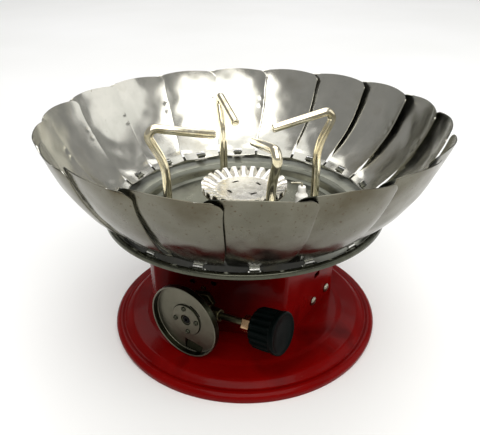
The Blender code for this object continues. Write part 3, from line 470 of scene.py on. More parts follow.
base = dict(
    line=[(0.0, 7.7), (56.4, 7.7), (59.2, 6.8), (68.9, 6.6), (71.0, 5.3), (72.8, 3.9), (74.2, 3.8),
          (76.2, 4.9), (78.0, 3.2), (77.5, 0.7), (77.0, 0.0), (74.0, 0.0)],
    rounds=[0, 5.0, 5.0, 3.5, 2.5, 2.2, 1.8, 1.5, 1.5, 1.0, 0.5, 0], sheet=1.0)


def makeBase():
    # the sheet's section turned about Z, with nothing past the axis or below the table
    loop = sheetLoop(rounded(base["line"], base["rounds"], 6), base["sheet"])
    piece = shell("baseDish", turned(np.maximum(loop, 0.0), 180))
    finished(piece, [redEnamel], "base_dish")


makeBase()


# Housing: a drum of bent sheet with a flat behind the connector and a flat towards the knob

housing = dict(
    radius=55.8, low=8.0, high=66.3, frontFlat=33.79, frontTurn=22.3, rightFlat=40.4, fold=3.2, endFold=2.2,
    sheet=1.0, cut=3.0,                     # how far a cutter reaches each way
    slot=(16.6, 32.0, 6.5, 3.4),            # on the right flat: y, z, length, height
    # round holes: y or place along the flat, z, radius, for the igniter and the rivets, the valve and screws
    rightHoles=[(14.0, 48.0, 6.2), (12.6, 15.3, 1.8), (29.4, 15.3, 1.8)],
    frontHoles=[(-17.07, 29.3, 4.9), (-22.6, 41.0, 1.6), (-16.6, 37.0, 1.6), (-10.6, 41.0, 1.6)])
frontTurn = radians(housing["frontTurn"])
frontAlong = np.array([cos(frontTurn), sin(frontTurn), 0.0])
frontOut = np.array([sin(frontTurn), -cos(frontTurn), 0.0])


def frontAt(beside, out, height):
    # a place given along the front flat, out from it and above the table
    return frontAlong * beside + frontOut * (housing["frontFlat"] + out) + np.array([0.0, 0.0, height])


def hole(radius, start, direction):
    # a cutter: a disc's profile turned about the direction
    depth = 2 * housing["cut"]
    disc = turned([(0, 0), (radius, 0), (radius, depth), (0, depth)], 40)
    return shell("cutHole", placed(disc, start, direction))


def housingOutline():
    # the fold between the flats, then the drum's arc from the right flat round to the front flat
    h = housing
    start = acos(h["rightFlat"] / h["radius"])
    end = 1.5 * pi + frontTurn - acos(h["frontFlat"] / h["radius"])
    fold = (h["rightFlat"], (h["rightFlat"] * sin(frontTurn) - h["frontFlat"]) / cos(frontTurn))
    angle = np.delete(np.linspace(start, end, 110), [1, 2, -3, -2])   # leaves the end folds room to turn
    arc = np.stack([np.cos(angle), np.sin(angle)], -1) * h["radius"]
    rounds = [h["fold"], h["endFold"]] + [0] * (len(arc) - 2) + [h["endFold"]]
    line = rounded(np.concatenate([[fold], arc]), rounds, 6)
    return line[apart(line)]


def makeHousing():
    # the outline and the same line moved in by the sheet, each at both heights
    line = housingOutline()
    run = np.roll(line, -1, 0) - np.roll(line, 1, 0)
    run /= np.linalg.norm(run, axis=1)[:, None]
    inner = line + leftOf(run) * housing["sheet"]
    low, high = housing["low"], housing["high"]
    rows = [np.insert(outline, 2, height, axis=1)
            for outline, height in ((line, low), (line, high), (inner, high), (inner, low))]
    piece = shell("housingDrum", np.stack(rows), ring=True)
    wall, cut = housing["rightFlat"], housing["cut"]
    y, z, long, tall = housing["slot"]
    slot = box((wall - cut, y - long / 2, z - tall / 2), (wall + cut, y + long / 2, z + tall / 2))
    first = shell("cutSlot", slot, caps=True)
    right = [hole(radius, (wall - cut, y, z), (1, 0, 0)) for y, z, radius in housing["rightHoles"]]
    front = [hole(radius, frontAt(side, -cut, z), frontOut) for side, z, radius in housing["frontHoles"]]
    combined(piece, [first, right[0], *front, *right[1:]], 'DIFFERENCE')
    softened(piece, 0.25)
    finished(piece, [drumEnamel], "housing", flats=True)


makeHousing()


# Rivets on the right flat: low domes with a rolled edge, a shank and a flat head inside

rivet = dict(radius=2.8, high=1.4, seat=40.7, shank=1.5, head=(-3.0, -3.9))


def makeRivets():
    # the profile, in shares of the dome's radius and height, turned about the X direction
    r, h, shank = rivet["radius"], rivet["high"], rivet["shank"]
    near, far = rivet["head"]
    profile = [(0, h), (r * 0.55, h * 0.93), (r * 0.86, h * 0.62), (r, h * 0.22), (r * 0.97, 0), (shank, 0),
               (shank, near), (r * 0.9, near), (r * 0.9, far), (0, far)]
    line = rounded(profile, [0, 0.8, 0.8, 0.3, 0.1, 0, 0, 0.2, 0.2, 0], 4)
    for word, place in zip(("front", "rear"), housing["rightHoles"][1:]):
        origin = (rivet["seat"], *place[:2])
        piece = shell("sideRivetDome_" + word, placed(turned(line, 40), origin, (1, 0, 0)))
        finished(piece, [turnedSteel], "side_rivet_" + word)


makeRivets()
print("base and housing made")


# Pan: floor, sloping wall, flat rim and a rolled lip, with a tab for each petal's hinge

hinge = dict(count=18, phase=7.0, radius=72.5, height=78.5)
pan = dict(
    floor=67.4, rim=73.5, sheet=0.8,
    line=[(9.7, 67.4), (14.5, 67.4), (16.0, 67.9), (18.0, 67.9), (19.5, 67.4), (56.5, 67.4), (58.75, 68.75),
          (60.1, 72.15), (62.25, 73.5), (70.5, 73.5), (74.4, 73.5), (75.3, 76.1), (76.3, 76.9), (77.0, 76.4),
          (77.2, 75.6), (77.05, 74.9)],
    rounds=[0, 1.0, 1.0, 1.0, 1.0, 2.0, 1.5, 1.5, 1.5, 0, 0.8, 0.8, 0.5, 0.4, 0.4, 0],
    tab=8.0, tongue=4.6, tabSheet=0.8, tabAt=74.5, tabEnd=70.1, tabFoot=0.3, tabBend=0.9,
    shoulder=1.5,                       # how far below the hinge a tab narrows to its tongue
    channel=(62.6, 75.0), lip=75.6)     # where the flat rim's and the lip's own finishes lie


def tabGrid(angle):
    # a strip up from the rim that bends in through the petal's slot: width x thickness along the line
    p = pan
    narrow = hinge["height"] - p["shoulder"]
    corners = [(p["tabAt"], p["rim"] + p["tabFoot"]), (p["tabAt"], narrow), (p["tabAt"], hinge["height"]),
               (p["tabEnd"], hinge["height"])]
    line = rounded(corners, [0, 0, p["tabBend"], 0], 5)
    line = line[apart(line)]
    shoulder = int(np.argmax(line[:, 1] >= narrow - 0.01))
    line = np.insert(line, shoulder, line[shoulder], axis=0)
    width = np.where(np.arange(len(line)) <= shoulder, p["tab"], p["tongue"]) / 2
    run = tangents(line)
    run[shoulder] = run[shoulder + 1] = (0, 1)
    square = leftOf(run) * p["tabSheet"] / 2
    corner = np.stack([line + square, line + square, line - square, line - square], 1)
    across = np.stack([-width, width, width, -width], 1)
    return around(angle, corner[..., 0], across, corner[..., 1])


def makePan():
    # the sheet's section turned about Z, with the tabs on its rim
    p = pan
    loop = sheetLoop(rounded(p["line"], p["rounds"], 5), p["sheet"])
    grids = [(turned(loop, 216), True, True)]
    grids += [(tabGrid(angle), False, True) for angle in ringAngles(hinge["count"], hinge["phase"])]
    piece = meshFrom("panPressing", grids, caps=True)
    softened(piece, 0.12, 60)
    finished(piece, [panMetal, tabMetal, channelMetal, rimMetal], "pan", flats=True)
    x, y, z = faceRows(piece, "center") / mm
    reach, step, slack = np.hypot(x, y), tau / hinge["count"], 0.06
    beside = np.abs(((np.arctan2(y, x) - radians(hinge["phase"])) / step + 0.5) % 1 - 0.5) * step * reach
    # the tabs' faces, which take the bright copy of the sheet as painted highlight
    tab = ((z > p["rim"] + slack) & (np.abs(reach - p["tabAt"]) < p["tabSheet"] / 2 + slack)
           & (beside < p["tab"] / 2 + slack))
    # the flat rim's faces, which take the painted shade
    low, high = p["channel"]
    channel = (reach > low) & (reach < high) & (np.abs(z - p["rim"] - p["sheet"]) < 0.5)
    # the lip's faces, which take the darker copy of the sheet as painted dark reflection
    lip = (reach > p["lip"]) & (z > p["rim"])
    dressed(piece, np.where(tab, 1, np.where(channel, 2, np.where(lip, 3, 0))))


makePan()


# Petals: bowed sheets that lean out, cupped and twisted so that one edge of each lies outside its neighbour

petal = dict(
    length=60.0, foot=3.2, bow=92.0, lean=52.9, cup=66.0, sheet=0.5, topHalf=21.8, scallop=3.2, corner=4.0,
    slot=(2.9, 1.7), slotShare=0.25,         # half sizes, and the share of the columns over the slot
    sideAlong=[-3.2, -1.7, 1.7, 5.2, 9.3, 15.1, 23.9, 34.3, 44.8, 54.2],
    sideHalf=[11.57, 11.75, 12.23, 12.86, 14.39, 15.9, 17.66, 19.2, 20.7, 21.5],
    foldRoom=0.12, foldRoomTo=12.0,          # how much narrower the side is near the foot
    twist=4.6, twistAlong=[-3.2, 1.7, 5.2, 9.3], twistShares=[0, 0, 0.72, 1.0], curl=0.8, curlFrom=0.6,
    wave=0.16, waves=(31.0, 22.0, 15.0), waveStretch=1.3, seed=100,
    nibs=((33.0, 2.2), (38.5, 2.2)), nibSize=1.0, nibHigh=0.45, lapShare=0.85)
sideCurve = np.polyfit(petal["sideAlong"], petal["sideHalf"], 4)   # a smooth side through the widths above


def petalHalf(along):
    # the smooth side, then a round corner: half = side - corner (1 - sqrt(1 - t^2))
    start = petal["length"] - petal["corner"]
    side = np.polyval(sideCurve, np.minimum(along, start))
    narrow = np.interp(along, petal["sideAlong"], petal["sideHalf"]) - petal["foldRoom"]
    side = np.where(along < petal["foldRoomTo"], np.minimum(side, narrow), side)
    t = np.clip((along - start) / petal["corner"], 0, 1)
    return side - petal["corner"] * (1 - np.sqrt(1 - t ** 2))


def petalShape(index, angle):
    # rows run along the petal and columns across it, each point pushed square to a bowed middle line:
    # out = bow (cos l - cos lean) + push cos l and up = bow (sin lean - sin l) - push sin l, where l is the
    # lean less the point's reach / bow
    p = petal
    rng = np.random.default_rng(p["seed"] + index)
    slotHalf, slotHigh = p["slot"]
    start, inner = p["length"] - p["corner"], p["slotShare"]
    along = np.concatenate([np.linspace(-p["foot"], -slotHigh, 3), np.linspace(-slotHigh, slotHigh, 5)[1:],
                            np.linspace(slotHigh, start, 62)[1:],
                            start + p["corner"] * np.sin(np.linspace(0, pi / 2, 12))[1:]])[:, None]
    column = np.concatenate([np.linspace(-1, -inner, 17), np.linspace(-inner, inner, 13)[1:-1],
                             np.linspace(inner, 1, 17)])
    half = petalHalf(along)
    # the columns beside the slot run straight there, then spread to their own share of the width
    blend = np.clip((along - slotHigh) / 9.0, 0, 1)
    share = slotHalf / half * (1 - blend) + inner * blend
    spread = np.interp(np.abs(column), [0, inner, 1], [0, 1, 2])
    size = np.where(spread <= 1, spread * share, share + (spread - 1) * (1 - share))
    across = np.sign(column) * size * half
    reach = along - p["scallop"] * (across / p["topHalf"]) ** 2 * (np.maximum(along, 0) / p["length"]) ** 3
    twist = radians(p["twist"]) * np.interp(along, p["twistAlong"], p["twistShares"])
    push = across * np.sin(twist) - across ** 2 / (2 * p["cup"])
    # the outer edge curls in towards its neighbour: curl x (share past the start)^2, growing along the petal
    past = np.clip((across / half - p["curlFrom"]) / (1 - p["curlFrom"]), 0, 1)
    push = push - p["curl"] * past ** 2 * np.clip(reach / p["length"], 0, 1)
    # hand-pressed unevenness: slow waves that fade out towards the foot and the lapped edges
    calm = np.clip(1 - (across / half) ** 2, 0, 1) * np.clip(reach / 8, 0, 1)
    for size in p["waves"]:
        a, b, c = rng.uniform(0, tau, 3)
        wave = np.sin(reach * tau / size + a) * np.sin(across * tau / (size * p["waveStretch"]) + b + c)
        push = push + p["wave"] * size / p["waves"][0] * calm * wave
    for place, inset in p["nibs"]:      # round nibs pressed outwards near the edge that lies inside
        away = (reach - place) ** 2 + (across + (half - inset)) ** 2
        push = push + p["nibHigh"] * np.exp(-away / p["nibSize"] ** 2)
    foot = radians(p["lean"])
    lean = foot - reach / p["bow"]
    out = p["bow"] * (np.cos(lean) - cos(foot)) + push * np.cos(lean)
    up = p["bow"] * (sin(foot) - np.sin(lean)) - push * np.sin(lean)
    points = around(angle, hinge["radius"] + out, across, hinge["height"] + up)
    middle = np.abs(across[:-1, :-1] + across[1:, 1:]) / 2
    gap = (np.abs(along[:-1] + along[1:]) / 2 < slotHigh) & (middle < slotHalf)
    return points, gap.reshape(-1)


def makePetals():
    for index, angle in enumerate(ringAngles(hinge["count"], hinge["phase"])):
        points, gap = petalShape(index, angle)
        piece = meshFrom("petalBlade_%02d" % (index + 1), [(points, False, False)], skip=gap)
        sheet = piece.modifiers.new("sheet", 'SOLIDIFY')
        sheet.thickness = petal["sheet"] * mm
        sheet.offset = 0.0
        plain(piece)
        softened(piece, 0.1, 60)
        finished(piece, [bladeOuter, bladeInner, bladeLap], "petal_%02d" % (index + 1),
                 "petal_body_%02d" % (index + 1))
        normal, (x, y, up) = faceRows(piece, "normal"), faceRows(piece, "center") / mm
        inward = normal[0] * x + normal[1] * y < 0
        # the strip that the neighbour laps over, which takes the painted seam shade: nearer to the inside
        # edge than a share of the overlap
        out, across = x * cos(angle) + y * sin(angle), y * cos(angle) - x * sin(angle)
        half = petalHalf(np.hypot(out - hinge["radius"], up - hinge["height"]))
        overlap = 2 * (half - out * tan(pi / hinge["count"]))
        lapped = ~inward & (half + across < petal["lapShare"] * overlap) & (across < 0)
        dressed(piece, np.where(lapped, 2, inward))


makePetals()
print("pan and petals made")


# Pot supports: bent wire with an upset head below the pan and a rounded tip

support = dict(
    count=4, phase=50.7, leg=43.3, wire=2.4, below=7.3, head=(3.5, 1.6), tip=1.1,
    corners=[(0.0, 36.0), (8.2, 52.6), (5.2, 56.8), (-27.5, 49.8)], bends=[32.0, 3.6, 3.6])


def makeSupports():
    # a circle swept along the bent line; over the tip it closes as a quarter turn, wire - tip + tip cos q
    s = support
    headRadius, headHigh = s["head"]
    low, wire, tip = -s["below"], s["wire"], s["tip"]
    line = rounded([(0.0, low + headHigh)] + s["corners"], [0] + s["bends"] + [0], 10)
    line = line[apart(line)]
    end = line[-1]
    inward = (end - line[-2]) / np.linalg.norm(end - line[-2])
    quarter = np.linspace(0, pi / 2, 7)
    radius = np.concatenate([np.full(len(line) - 1, wire), wire - tip + tip * np.cos(quarter), [0.0]])
    line = np.concatenate([line[:-1], end - inward * tip + inward * tip * np.sin(quarter)[:, None], [end]])
    head = rounded([(0, low), (headRadius, low), (headRadius, low + headHigh), (0, low + headHigh)],
                   [0, 0.4, 0.4, 0], 4)
    for number, angle in enumerate(ringAngles(s["count"], s["phase"]), 1):
        path = around(angle, s["leg"] + line[:, 0], 0.0, pan["floor"] + line[:, 1])
        centre = around(angle, s["leg"], 0.0, pan["floor"])
        piece = shell("potSupportWire_%d" % number, swept(path, radius, angle, 28), turned(head, 28) + centre,
                      caps=True)
        finished(piece, [wireMetal], "pot_support_%d" % number, "support_body_%d" % number)


makeSupports()


# Bushes that the legs turn in: a flange on the pan and a sleeve through it

bush = dict(bore=2.6, sleeve=3.8, flange=4.8, top=1.6, seat=0.3, low=-3.1)


def makeBushes():
    # the bush's section turned about each leg
    b = bush
    loop = rounded([(b["flange"], b["top"]), (b["flange"], b["seat"]), (b["sleeve"], b["seat"]),
                    (b["sleeve"], b["low"]), (b["bore"], b["low"]), (b["bore"], b["top"])],
                   [0.5, 0.1, 0, 0.3, 0, 0.3], 4)
    for number, angle in enumerate(ringAngles(support["count"], support["phase"]), 1):
        centre = around(angle, support["leg"], 0.0, pan["floor"])
        piece = shell("supportBush_%d" % number, turned(loop, 40) + centre, ring=True)
        finished(piece, [turnedSteel], "support_bush_%d" % number)


makeBushes()


# Burner: a cup, and a stamped lid whose fluted rim leaves the flame ports

burner = dict(
    floor=67.7, neck=10.0, neckHigh=4.5, cup=23.6, high=15.7, wall=1.2, bore=7.8,
    outside=[(19.8, 79.1), (14.1, 76.0)], inside=[(12.9, 76.7), (18.6, 79.8)],
    lid=24.0, flat=16.0, gap=0.3, sheet=0.6, flutes=26, wave=1.6, lift=1.6, knee=0.55, sharp=2.6, bias=0.62,
    slots=(9.5, 4.0, 1.6, -24.0))       # place, length, width, phase


def makeBurnerCup():
    # the cup's section turned about Z
    b = burner
    foot, top = b["floor"], b["floor"] + b["high"]
    outer = [(b["cup"], top)] + b["outside"] + [(b["neck"], foot + b["neckHigh"]), (b["neck"], foot)]
    inner = [(b["bore"], foot), (b["bore"], foot + b["neckHigh"] + b["wall"])] + b["inside"]
    loop = rounded(outer + inner + [(b["cup"] - b["wall"], top)],
                   [0.2, 4.0, 4.0, 1.5, 0.3, 0.3, 1.0, 4.0, 4.0, 0.2], 5)
    finished(shell("burnerCup", turned(loop, 96), ring=True), [turnedSteel], "burner_cup")


def lidSurface(radius, angle):
    # height of the lid's top: the rim lifts, with broad pleats between narrow grooves, tanh(k (cos + bias))
    b = burner
    run = np.clip((radius - b["flat"]) / (b["lid"] - b["flat"]), 0, 1)
    base = b["floor"] + b["high"] + b["gap"] + b["sheet"] + b["wave"] - b["lift"] * 0.8
    lift = np.interp(run, [0, b["knee"], 1], [0, 0.5, 1]) * b["lift"]
    depth = np.interp(run, [0, b["knee"], 1], [0, 0.85, 1]) * b["wave"]
    wave = np.tanh(b["sharp"] * (np.cos(b["flutes"] * angle) + b["bias"])) / tanh(b["sharp"])
    return base + lift + depth * wave


def makeCrown():
    # the lid's top and the same surface a sheet lower, with four slots cut through
    b = burner
    radius = np.concatenate([np.linspace(0, b["flat"] - 0.6, 14), np.linspace(b["flat"], b["lid"], 16)])
    steps = b["flutes"] * 12
    ring, turn = np.meshgrid(radius, np.arange(steps) * tau / steps, indexing="ij")
    over = np.stack([ring * np.cos(turn), ring * np.sin(turn), lidSurface(ring, turn)], -1)
    under = over - np.array([0, 0, b["sheet"]])
    piece = shell("burnerLid", np.concatenate([over, under[::-1]]))
    place, long, wide, phase = b["slots"]
    level, cut = float(lidSurface(0.0, 0.0)), 3.0
    slot = box((place - wide / 2, -long / 2, level - cut), (place + wide / 2, long / 2, level + cut))
    cutters = [shell("cutLid", around(angle, *np.moveaxis(slot, -1, 0)), caps=True)
               for angle in ringAngles(4, phase)]
    combined(piece, cutters, 'DIFFERENCE')
    finished(piece, [crownMetal], "burner_crown", sharp=60, flats=True)


makeBurnerCup()
makeCrown()


# Igniter electrode: unglazed ceramic on a flange, with a bent wire that reaches towards the lid's rim

electrode = dict(
    at=(32.2, 31.0),                                # radius and angle
    flange=(4.8, 0.3, 2.1),                         # radius, and heights above the pan's floor
    body=(3.5, -6.0, 13.0), tip=(2.2, 14.9, 18.6),
    wire=(0.6, 17.1, 3.4, 6.2))                     # radius, foot, rise, reach


def makeElectrode():
    # the ceramic's profile turned about its own axis, and a circle swept along the wire
    radius, angle = electrode["at"][0], radians(electrode["at"][1])
    ring, low, high = electrode["flange"]
    body, bottom, coneFoot = electrode["body"]
    tip, coneTop, top = electrode["tip"]
    profile = [(0, top), (tip, top), (tip, coneTop), (body, coneFoot), (body, high), (ring, high),
               (ring, low), (body, low), (body, bottom), (0, bottom)]
    line = rounded(profile, [0, 0.7, 0.6, 0.7, 0.3, 0.5, 0.3, 0, 0.4, 0], 5)
    piece = shell("electrodeCeramic", turned(line, 40) + around(angle, radius, 0.0, pan["floor"]))
    finished(piece, [whiteCeramic], "electrode_ceramic")
    wire, foot, rise, reach = electrode["wire"]
    path = [around(angle, radius - inward, 0.0, pan["floor"] + up)
            for inward, up in ((0, foot), (0, foot + rise), (reach, foot + rise))]
    path = rounded(path, [0, 1.4, 0], 8)
    piece = shell("electrodeWire", swept(path, wire, angle, 14), caps=True)
    finished(piece, [turnedSteel], "electrode_wire", sharp=60)


makeElectrode()
print("supports and burner made")


# Cartridge connector: a shallow cup with a notch and a hook slot, a hub plate and four staked pins

connector = dict(
    x=0.4, z=29.3, face=-59.976, radius=21.2, wall=1.0, deep=3.4, neck=4.7,
    shoulder=0.7,                           # how far the back's edge is drawn in
    notch=(12.0, 5.4, 4.2, -16.53),         # width, height, and its middle's x and z
    notchCorners=(1.2, 0.5, 0.9),           # how far its corners stray from a square
    flap=(0.6, 1.4, 0.4, 0.2, 1.9),         # thickness, lean, behind the floor, overlap, corner
    hook=(9.8, 10.7, 31.1, 73.6), stakes=(19.0, (98.0, 72.0, 14.0, -10.0)),    # radii and angles
    hub=(9.4, 0.6, 2.4), hubSunk=0.3,       # radius, thickness, bore
    pins=(7.0, 1.4, 0.5, 8.0))              # circle, radius, height, phase


def connectorPoints(points):
    # own X stays, own Y is the part's height, own Z points back into the housing
    points = np.asarray(points, float)
    return np.stack([connector["x"] + points[..., 0], connector["face"] + points[..., 2],
                     connector["z"] + points[..., 1]], -1)


def notchShapes():
    # the notch leaves the rim's front edge whole, and its upper side rises to a peak at the left;
    # the sheet cut from it stays on its lower side, bent up and back behind it
    wide, tall, side, up = connector["notch"]
    floor = connector["deep"]
    foot, drop, peak = connector["notchCorners"]
    notch = box((side - wide / 2, up - tall / 2, floor - 2.7), (side + wide / 2, up + tall / 2, floor + 3))
    notch[:, 1, 0] -= foot
    notch[:, 2, 1] -= drop
    notch[:, 3, 1] += peak
    thick, lean, behind, over, corner = connector["flap"]
    flap = box((side - wide / 2 - over / 2, up - tall / 2 - over, floor + behind),
               (side + wide / 2 - over, up + tall / 2 + over, floor + behind + thick))
    flap[:, 2:, 2] += lean
    flap[:, 1, 0] -= corner        # follows the round wall at its lower corner
    return notch, flap


def makeConnectorCup():
    # the cup's section turned about its axis, cut by the notch, the hook slot and four small stake marks
    c = connector
    inner, outer, floor, back = c["radius"] - c["wall"], c["radius"], c["deep"], c["deep"] + c["wall"]
    loop = rounded([(c["neck"], floor), (inner, floor), (inner, 0.0), (outer, 0.0), (outer, floor),
                    (outer - c["shoulder"], back), (c["neck"], back)], [0, 0.5, 0.45, 0.45, 0.8, 0.6, 0], 5)
    piece = shell("connectorCup", connectorPoints(turned(loop, 144)), ring=True)
    notch, flap = notchShapes()
    near, far, start, end = c["hook"]
    angle = np.radians(np.linspace(start, end, 16))
    arc = np.stack([np.cos(angle), np.sin(angle)], -1)
    outline = np.concatenate([arc * near, arc[::-1] * far])
    hook = np.stack([np.insert(outline, 2, floor - 1, axis=1), np.insert(outline, 2, floor + 2, axis=1)])
    cutters = [shell("cutSheet", connectorPoints(shape), caps=True) for shape in (notch, hook)]
    place, angles = c["stakes"]
    for at in angles:
        ball = turned([(0, -0.7), (0.5, -0.5), (0.7, 0), (0.5, 0.5), (0, 0.7)], 12)
        ball = ball + around(radians(at), place, 0.0, floor - 0.35)
        cutters.append(shell("cutStake", connectorPoints(ball)))
    combined(piece, cutters, 'DIFFERENCE')
    combined(piece, [shell("notchFlap", connectorPoints(flap), caps=True)], 'UNION')
    softened(piece, 0.12, 60)
    finished(piece, [cupMetal, wallMetal, sootMetal], "connector_cup", flats=True)
    x, y, z = faceRows(piece, "center") / mm
    side, up = c["notch"][2:]
    behind = y > c["face"] + floor + 0.3
    beside = np.hypot(x - c["x"] - side, z - c["z"] - up) < 8.5
    wall = np.abs(faceRows(piece, "normal")[1]) < 0.35     # walls and cut edges, not the flats
    # the flap behind the notch takes the nearly black painted shade, the walls and cut edges the darker
    # plate's painted shade
    dressed(piece, np.where(behind & beside, 2, np.where(wall, 1, 0)))


def makeHub():
    # the plate's section turned about the connector's axis
    radius, high, bore = connector["hub"]
    back = connector["deep"] - connector["hubSunk"]
    front = back - high
    section = [(radius, back), (radius - 0.45, front), (bore + 0.9, front), (bore, front + 0.7), (bore, back)]
    loop = rounded(section, [0.1, 0.35, 0.4, 0.3, 0], 4)
    piece = shell("connectorHub", connectorPoints(turned(loop, 72)), ring=True)
    finished(piece, [cupMetal, sootMetal], "connector_hub", flats=True)
    # the hub's edge and bore take the nearly black painted shade
    dressed(piece, np.abs(faceRows(piece, "normal")[1]) < 0.8)     # the plate's edge and its bore
    # a staked end: a rolled ring round a punched hollow
    circle, size, high, phase = connector["pins"]
    profile = [(0, -0.1), (size * 0.45, -0.05), (size * 0.62, high), (size * 0.86, high * 0.9), (size, 0.1),
               (size, -0.28), (0, -0.28)]
    line = rounded(profile, [0, 0.15, 0.2, 0.2, 0.15, 0, 0], 4)
    for number, angle in enumerate(ringAngles(4, phase), 1):
        grid = turned(line * [1, -1], 28) + around(angle, circle, 0.0, front - 0.3)
        finished(shell("hubPinStake_%d" % number, connectorPoints(grid)), [pinMetal],
                 "hub_pin_%d" % number)


makeConnectorCup()
makeHub()


# Valve: barrel behind the cup, a hexagon square to the front flat, and the boss that the stem leaves

valve = dict(
    seat=14.0, tilt=7.2,                    # where the stem's axis starts, behind the connector's face
    barrel=(5.5, 4.7, 18.496),              # radius, start and end behind the connector's face
    hex=(7.6, 0.3, 4.0),                    # radius, gap to the front flat, height
    tail=(4.6, 7.0, 9.4),                   # radius, length inside the barrel and past the hexagon
    boss=[(0, 0), (4.8, 0), (4.8, 8.0), (3.9, 8.6), (3.9, 12.0), (3.4, 15.0), (2.1, 15.0), (2.1, 11.0),
          (0, 11.0)],
    stem=(1.9, 11.3, 34.3), nut=(4.6, 30.4, 6.4, 2.2))    # radius, start, length and bore
stemSeat = np.array([connector["x"], connector["face"] + valve["seat"], connector["z"]])
stemAxis = np.array([cos(radians(valve["tilt"])), 0.0, sin(radians(valve["tilt"]))])


def rod(radius, length, edge, sides, origin, direction):
    # a straight rod with rounded ends, standing on the origin
    line = rounded([(0, 0), (radius, 0), (radius, length), (0, length)], [0, edge, edge, 0], 4)
    return placed(turned(line, sides), origin, direction)


def makeValve():
    # straight rods and a stepped boss, each turned about its own axis
    v = valve
    radius, start, end = v["barrel"]
    seat = (connector["x"], connector["face"] + start, connector["z"])
    barrel = rod(radius, end - start, 0.4, 48, seat, (0, 1, 0))
    radius, gap, high = v["hex"]
    beside, z = housing["frontHoles"][0][:2]
    flank = frontAt(beside, gap + high, z)
    tail, neck, long = v["tail"]
    boss = rounded(v["boss"], [0, 0.4, 0.5, 0.3, 0.3, 0.5, 0.2, 0, 0], 4)
    piece = shell("valveBody", barrel, rod(radius, high, 0.5, 6, flank, -frontOut),
                  rod(tail, neck, 0.2, 40, stemSeat, -frontOut), rod(tail, long, 0.5, 40, flank, -frontOut),
                  placed(turned(boss, 48), stemSeat, stemAxis))
    finished(piece, [dullBrass], "valve_body", sharp=30)
    radius, start, long = v["stem"]
    piece = shell("valveStemRod", rod(radius, long, 0.3, 32, stemSeat + stemAxis * start, stemAxis))
    finished(piece, [dullSteel], "valve_stem", "knob_body")
    radius, start, long, bore = v["nut"]
    ring = rounded([(radius, 0), (radius, long), (bore, long), (bore, 0)], [0.5, 0.5, 0, 0], 3)
    piece = shell("stemNutHex", placed(turned(ring, 6), stemSeat + stemAxis * start, stemAxis), ring=True)
    softened(piece, 0.15, 40)
    finished(piece, [brassBar], "stem_nut", "knob_body", sharp=30)


makeValve()


# Knob: ribbed grip, smooth flange and a slightly dished face

knob = dict(at=37.6, long=15.8, flange=3.0, dish=0.5, ribs=18, rib=0.55, ribSharp=2.2)


def makeKnob():
    # rows of radius, height and how much of the rib each carries: r + rib x carry x tanh(k cos(ribs a))
    long, grip, dish = knob["long"], knob["long"] - knob["flange"], knob["long"] - knob["dish"]
    rows = np.array([
        (0.0, 0.0, 0), (7.6, 0.0, 0), (8.9, 0.25, 0.2), (9.7, 1.0, 0.7), (10.15, 2.2, 1.0), (10.3, 5.0, 1.0),
        (10.4, 8.5, 1.0), (10.4, grip - 1.2, 1.0), (10.45, grip - 0.5, 0.5), (10.5, grip - 0.1, 0.0),
        (10.9, grip + 0.05, 0), (11.2, grip + 0.25, 0), (11.3, grip + 0.6, 0), (11.3, long - 0.7, 0),
        (11.2, long - 0.3, 0), (10.85, long - 0.05, 0), (10.5, long, 0), (10.0, long - 0.08, 0),
        (9.75, long - 0.35, 0), (9.5, dish, 0), (5.0, dish - 0.08, 0), (0.0, dish - 0.1, 0)])
    steps = knob["ribs"] * 14
    angle = np.arange(steps) * tau / steps
    wave = np.tanh(knob["ribSharp"] * np.cos(knob["ribs"] * angle)) / tanh(knob["ribSharp"])
    radius = rows[:, :1] + knob["rib"] * rows[:, 2:] * wave[None]
    height = np.broadcast_to(rows[:, 1:2], radius.shape)
    grid = np.stack([radius * np.cos(angle), radius * np.sin(angle), height], -1)
    piece = shell("controlKnob", placed(grid, stemSeat + stemAxis * knob["at"], stemAxis))
    finished(piece, [blackMoulded], "knob", "knob_body", sharp=60)


makeKnob()
print("connector, valve and knob made")


# Igniter: its ring nut outside the right flat, and the sprung button

igniter = dict(
    nut=(8.0, 6.2, 2.0), nutSeat=0.3, grips=20, gripShare=0.03, gripFrom=7.0,
    neck=2.6, button=(4.4, 6.5, 5.5))       # radius, and how far it stands out of the neck and in it


def makeIgniter():
    # the ring's section and the button's profile turned about the X direction; the ring's outside is notched
    g = igniter
    outer, inner, high = g["nut"]
    low, steps = g["nutSeat"], 120
    ring = [(outer, low), (outer, low + high), (inner, low + high), (inner, low)]
    grid = turned(rounded(ring, [0.2, 0.6, 0.3, 0], 4), steps)
    grip = 1 - g["gripShare"] * (np.cos(g["grips"] * np.arange(steps) * tau / steps) > 0.2)
    away = np.hypot(grid[..., 0], grid[..., 1]) > g["gripFrom"]
    grid[..., :2] *= np.where(away, grip[None], 1.0)[..., None]
    y, z = housing["rightHoles"][0][:2]
    place = (housing["rightFlat"], y, z)
    piece = shell("igniterRingNut", placed(grid, place, (1, 0, 0)), ring=True)
    finished(piece, [blackMoulded], "piezo_nut", sharp=40)
    radius, out, back = g["button"]
    face, end = g["neck"] + out, g["neck"] - back
    line = rounded([(0, face - 0.5), (radius * 0.7, face - 0.25), (radius * 0.86, face), (radius, face - 0.7),
                    (radius, end), (0, end)], [0, 0.8, 0.4, 0.5, 0.2, 0], 5)
    piece = shell("igniterButton", placed(turned(line, 48), place, (1, 0, 0)))
    finished(piece, [redMoulded], "piezo_button", "button_body")


makeIgniter()

# Inner nodes keep their CAD shape and get their own finish
keptNodes = dict(
    base_bracket=turnedSteel, burner_nut=brassBar, mixing_tube=turnedSteel, jet=brassBar, gas_tube=brassBar,
    valve_locknut=brassBar, connector_seal=mattRubber, electrode_lead=mattRubber, piezo_body=blackMoulded)
for name, material in keptNodes.items():
    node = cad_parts[name]
    node.data.materials.clear()
    node.data.materials.append(material)

print("igniter and inner pieces made")


# Floor, light and camera

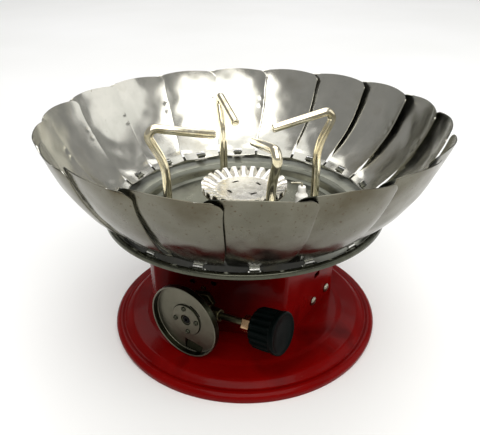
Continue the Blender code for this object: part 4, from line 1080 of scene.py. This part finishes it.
studio = dict(
    floorRadius=4000.0, worldTone="ffffff", worldStrength=0.31,
    lights=[  # name, place, what it faces, width, height, radiance, tone
        ("cameraSoftbox", (400, -475, 890), (0, 0, 90), 1100, 850, 3.0, "fffdfa"),
        ("overheadSoftbox", (0, 0, 1500), (0, 0, 0), 1500, 1500, 0.9, "ffffff"),
        ("rightPanel", (1000, 600, 560), (0, 0, 90), 1100, 900, 0.95, "ffffff"),
        ("farFloorLight", (-900, 1350, 1900), (-900, 1350, 0), 2400, 2400, 1.6, "ffffff")],
    camera=dict(place=(157.9, -238.7, 215.3), aim=(-2.1, -1.4, 65.6), lens=42.0, sensor=36.0, roll=-0.007,
                clip=(10.0, 20000.0)))


def makeFloor():
    # a flat disc: rings at equal steps of the radius
    rings = np.stack([np.linspace(0, studio["floorRadius"], 12), np.zeros(12)], -1)
    floor = shell("floor", turned(rings, 64))
    floor.data.materials.append(floorPaint)


def aimed(name, data, place, aim, roll=0.0):
    # its own -Z towards the aim and its Y upwards, then rolled about -Z
    thing = bpy.data.objects.new(name, data)
    place, aim = Vector(place) * mm, Vector(aim) * mm
    turn = (aim - place).to_track_quat('-Z', 'Y').to_matrix().to_4x4()
    thing.matrix_world = Matrix.Translation(place) @ turn @ Matrix.Rotation(roll, 4, 'Z')
    bpy.context.scene.collection.objects.link(thing)
    return thing


def makeLights():
    world = bpy.data.worlds.new("studioAir")
    bpy.context.scene.world = world
    world.use_nodes = True
    back = world.node_tree.nodes["Background"]
    setInputs(back, {"Color": studio["worldTone"], "Strength": studio["worldStrength"]})
    for name, place, aim, width, height, radiance, tone in studio["lights"]:
        data = bpy.data.lights.new(name, 'AREA')
        data.shape = 'RECTANGLE'
        data.size = width * mm
        data.size_y = height * mm
        data.energy = pi * radiance * data.size * data.size_y   # watts = pi x radiance x area
        data.color = toLinear(tone)[:3]
        aimed(name, data, place, aim)


def makeCamera():
    view = studio["camera"]
    data = bpy.data.cameras.new("photoCamera")
    data.lens = view["lens"]
    data.sensor_width = view["sensor"]
    data.sensor_fit = 'HORIZONTAL'
    data.clip_start, data.clip_end = np.array(view["clip"]) * mm
    bpy.context.scene.camera = aimed("photoCamera", data, view["place"], view["aim"], view["roll"])


makeFloor()
makeLights()
makeCamera()
print("studio made")
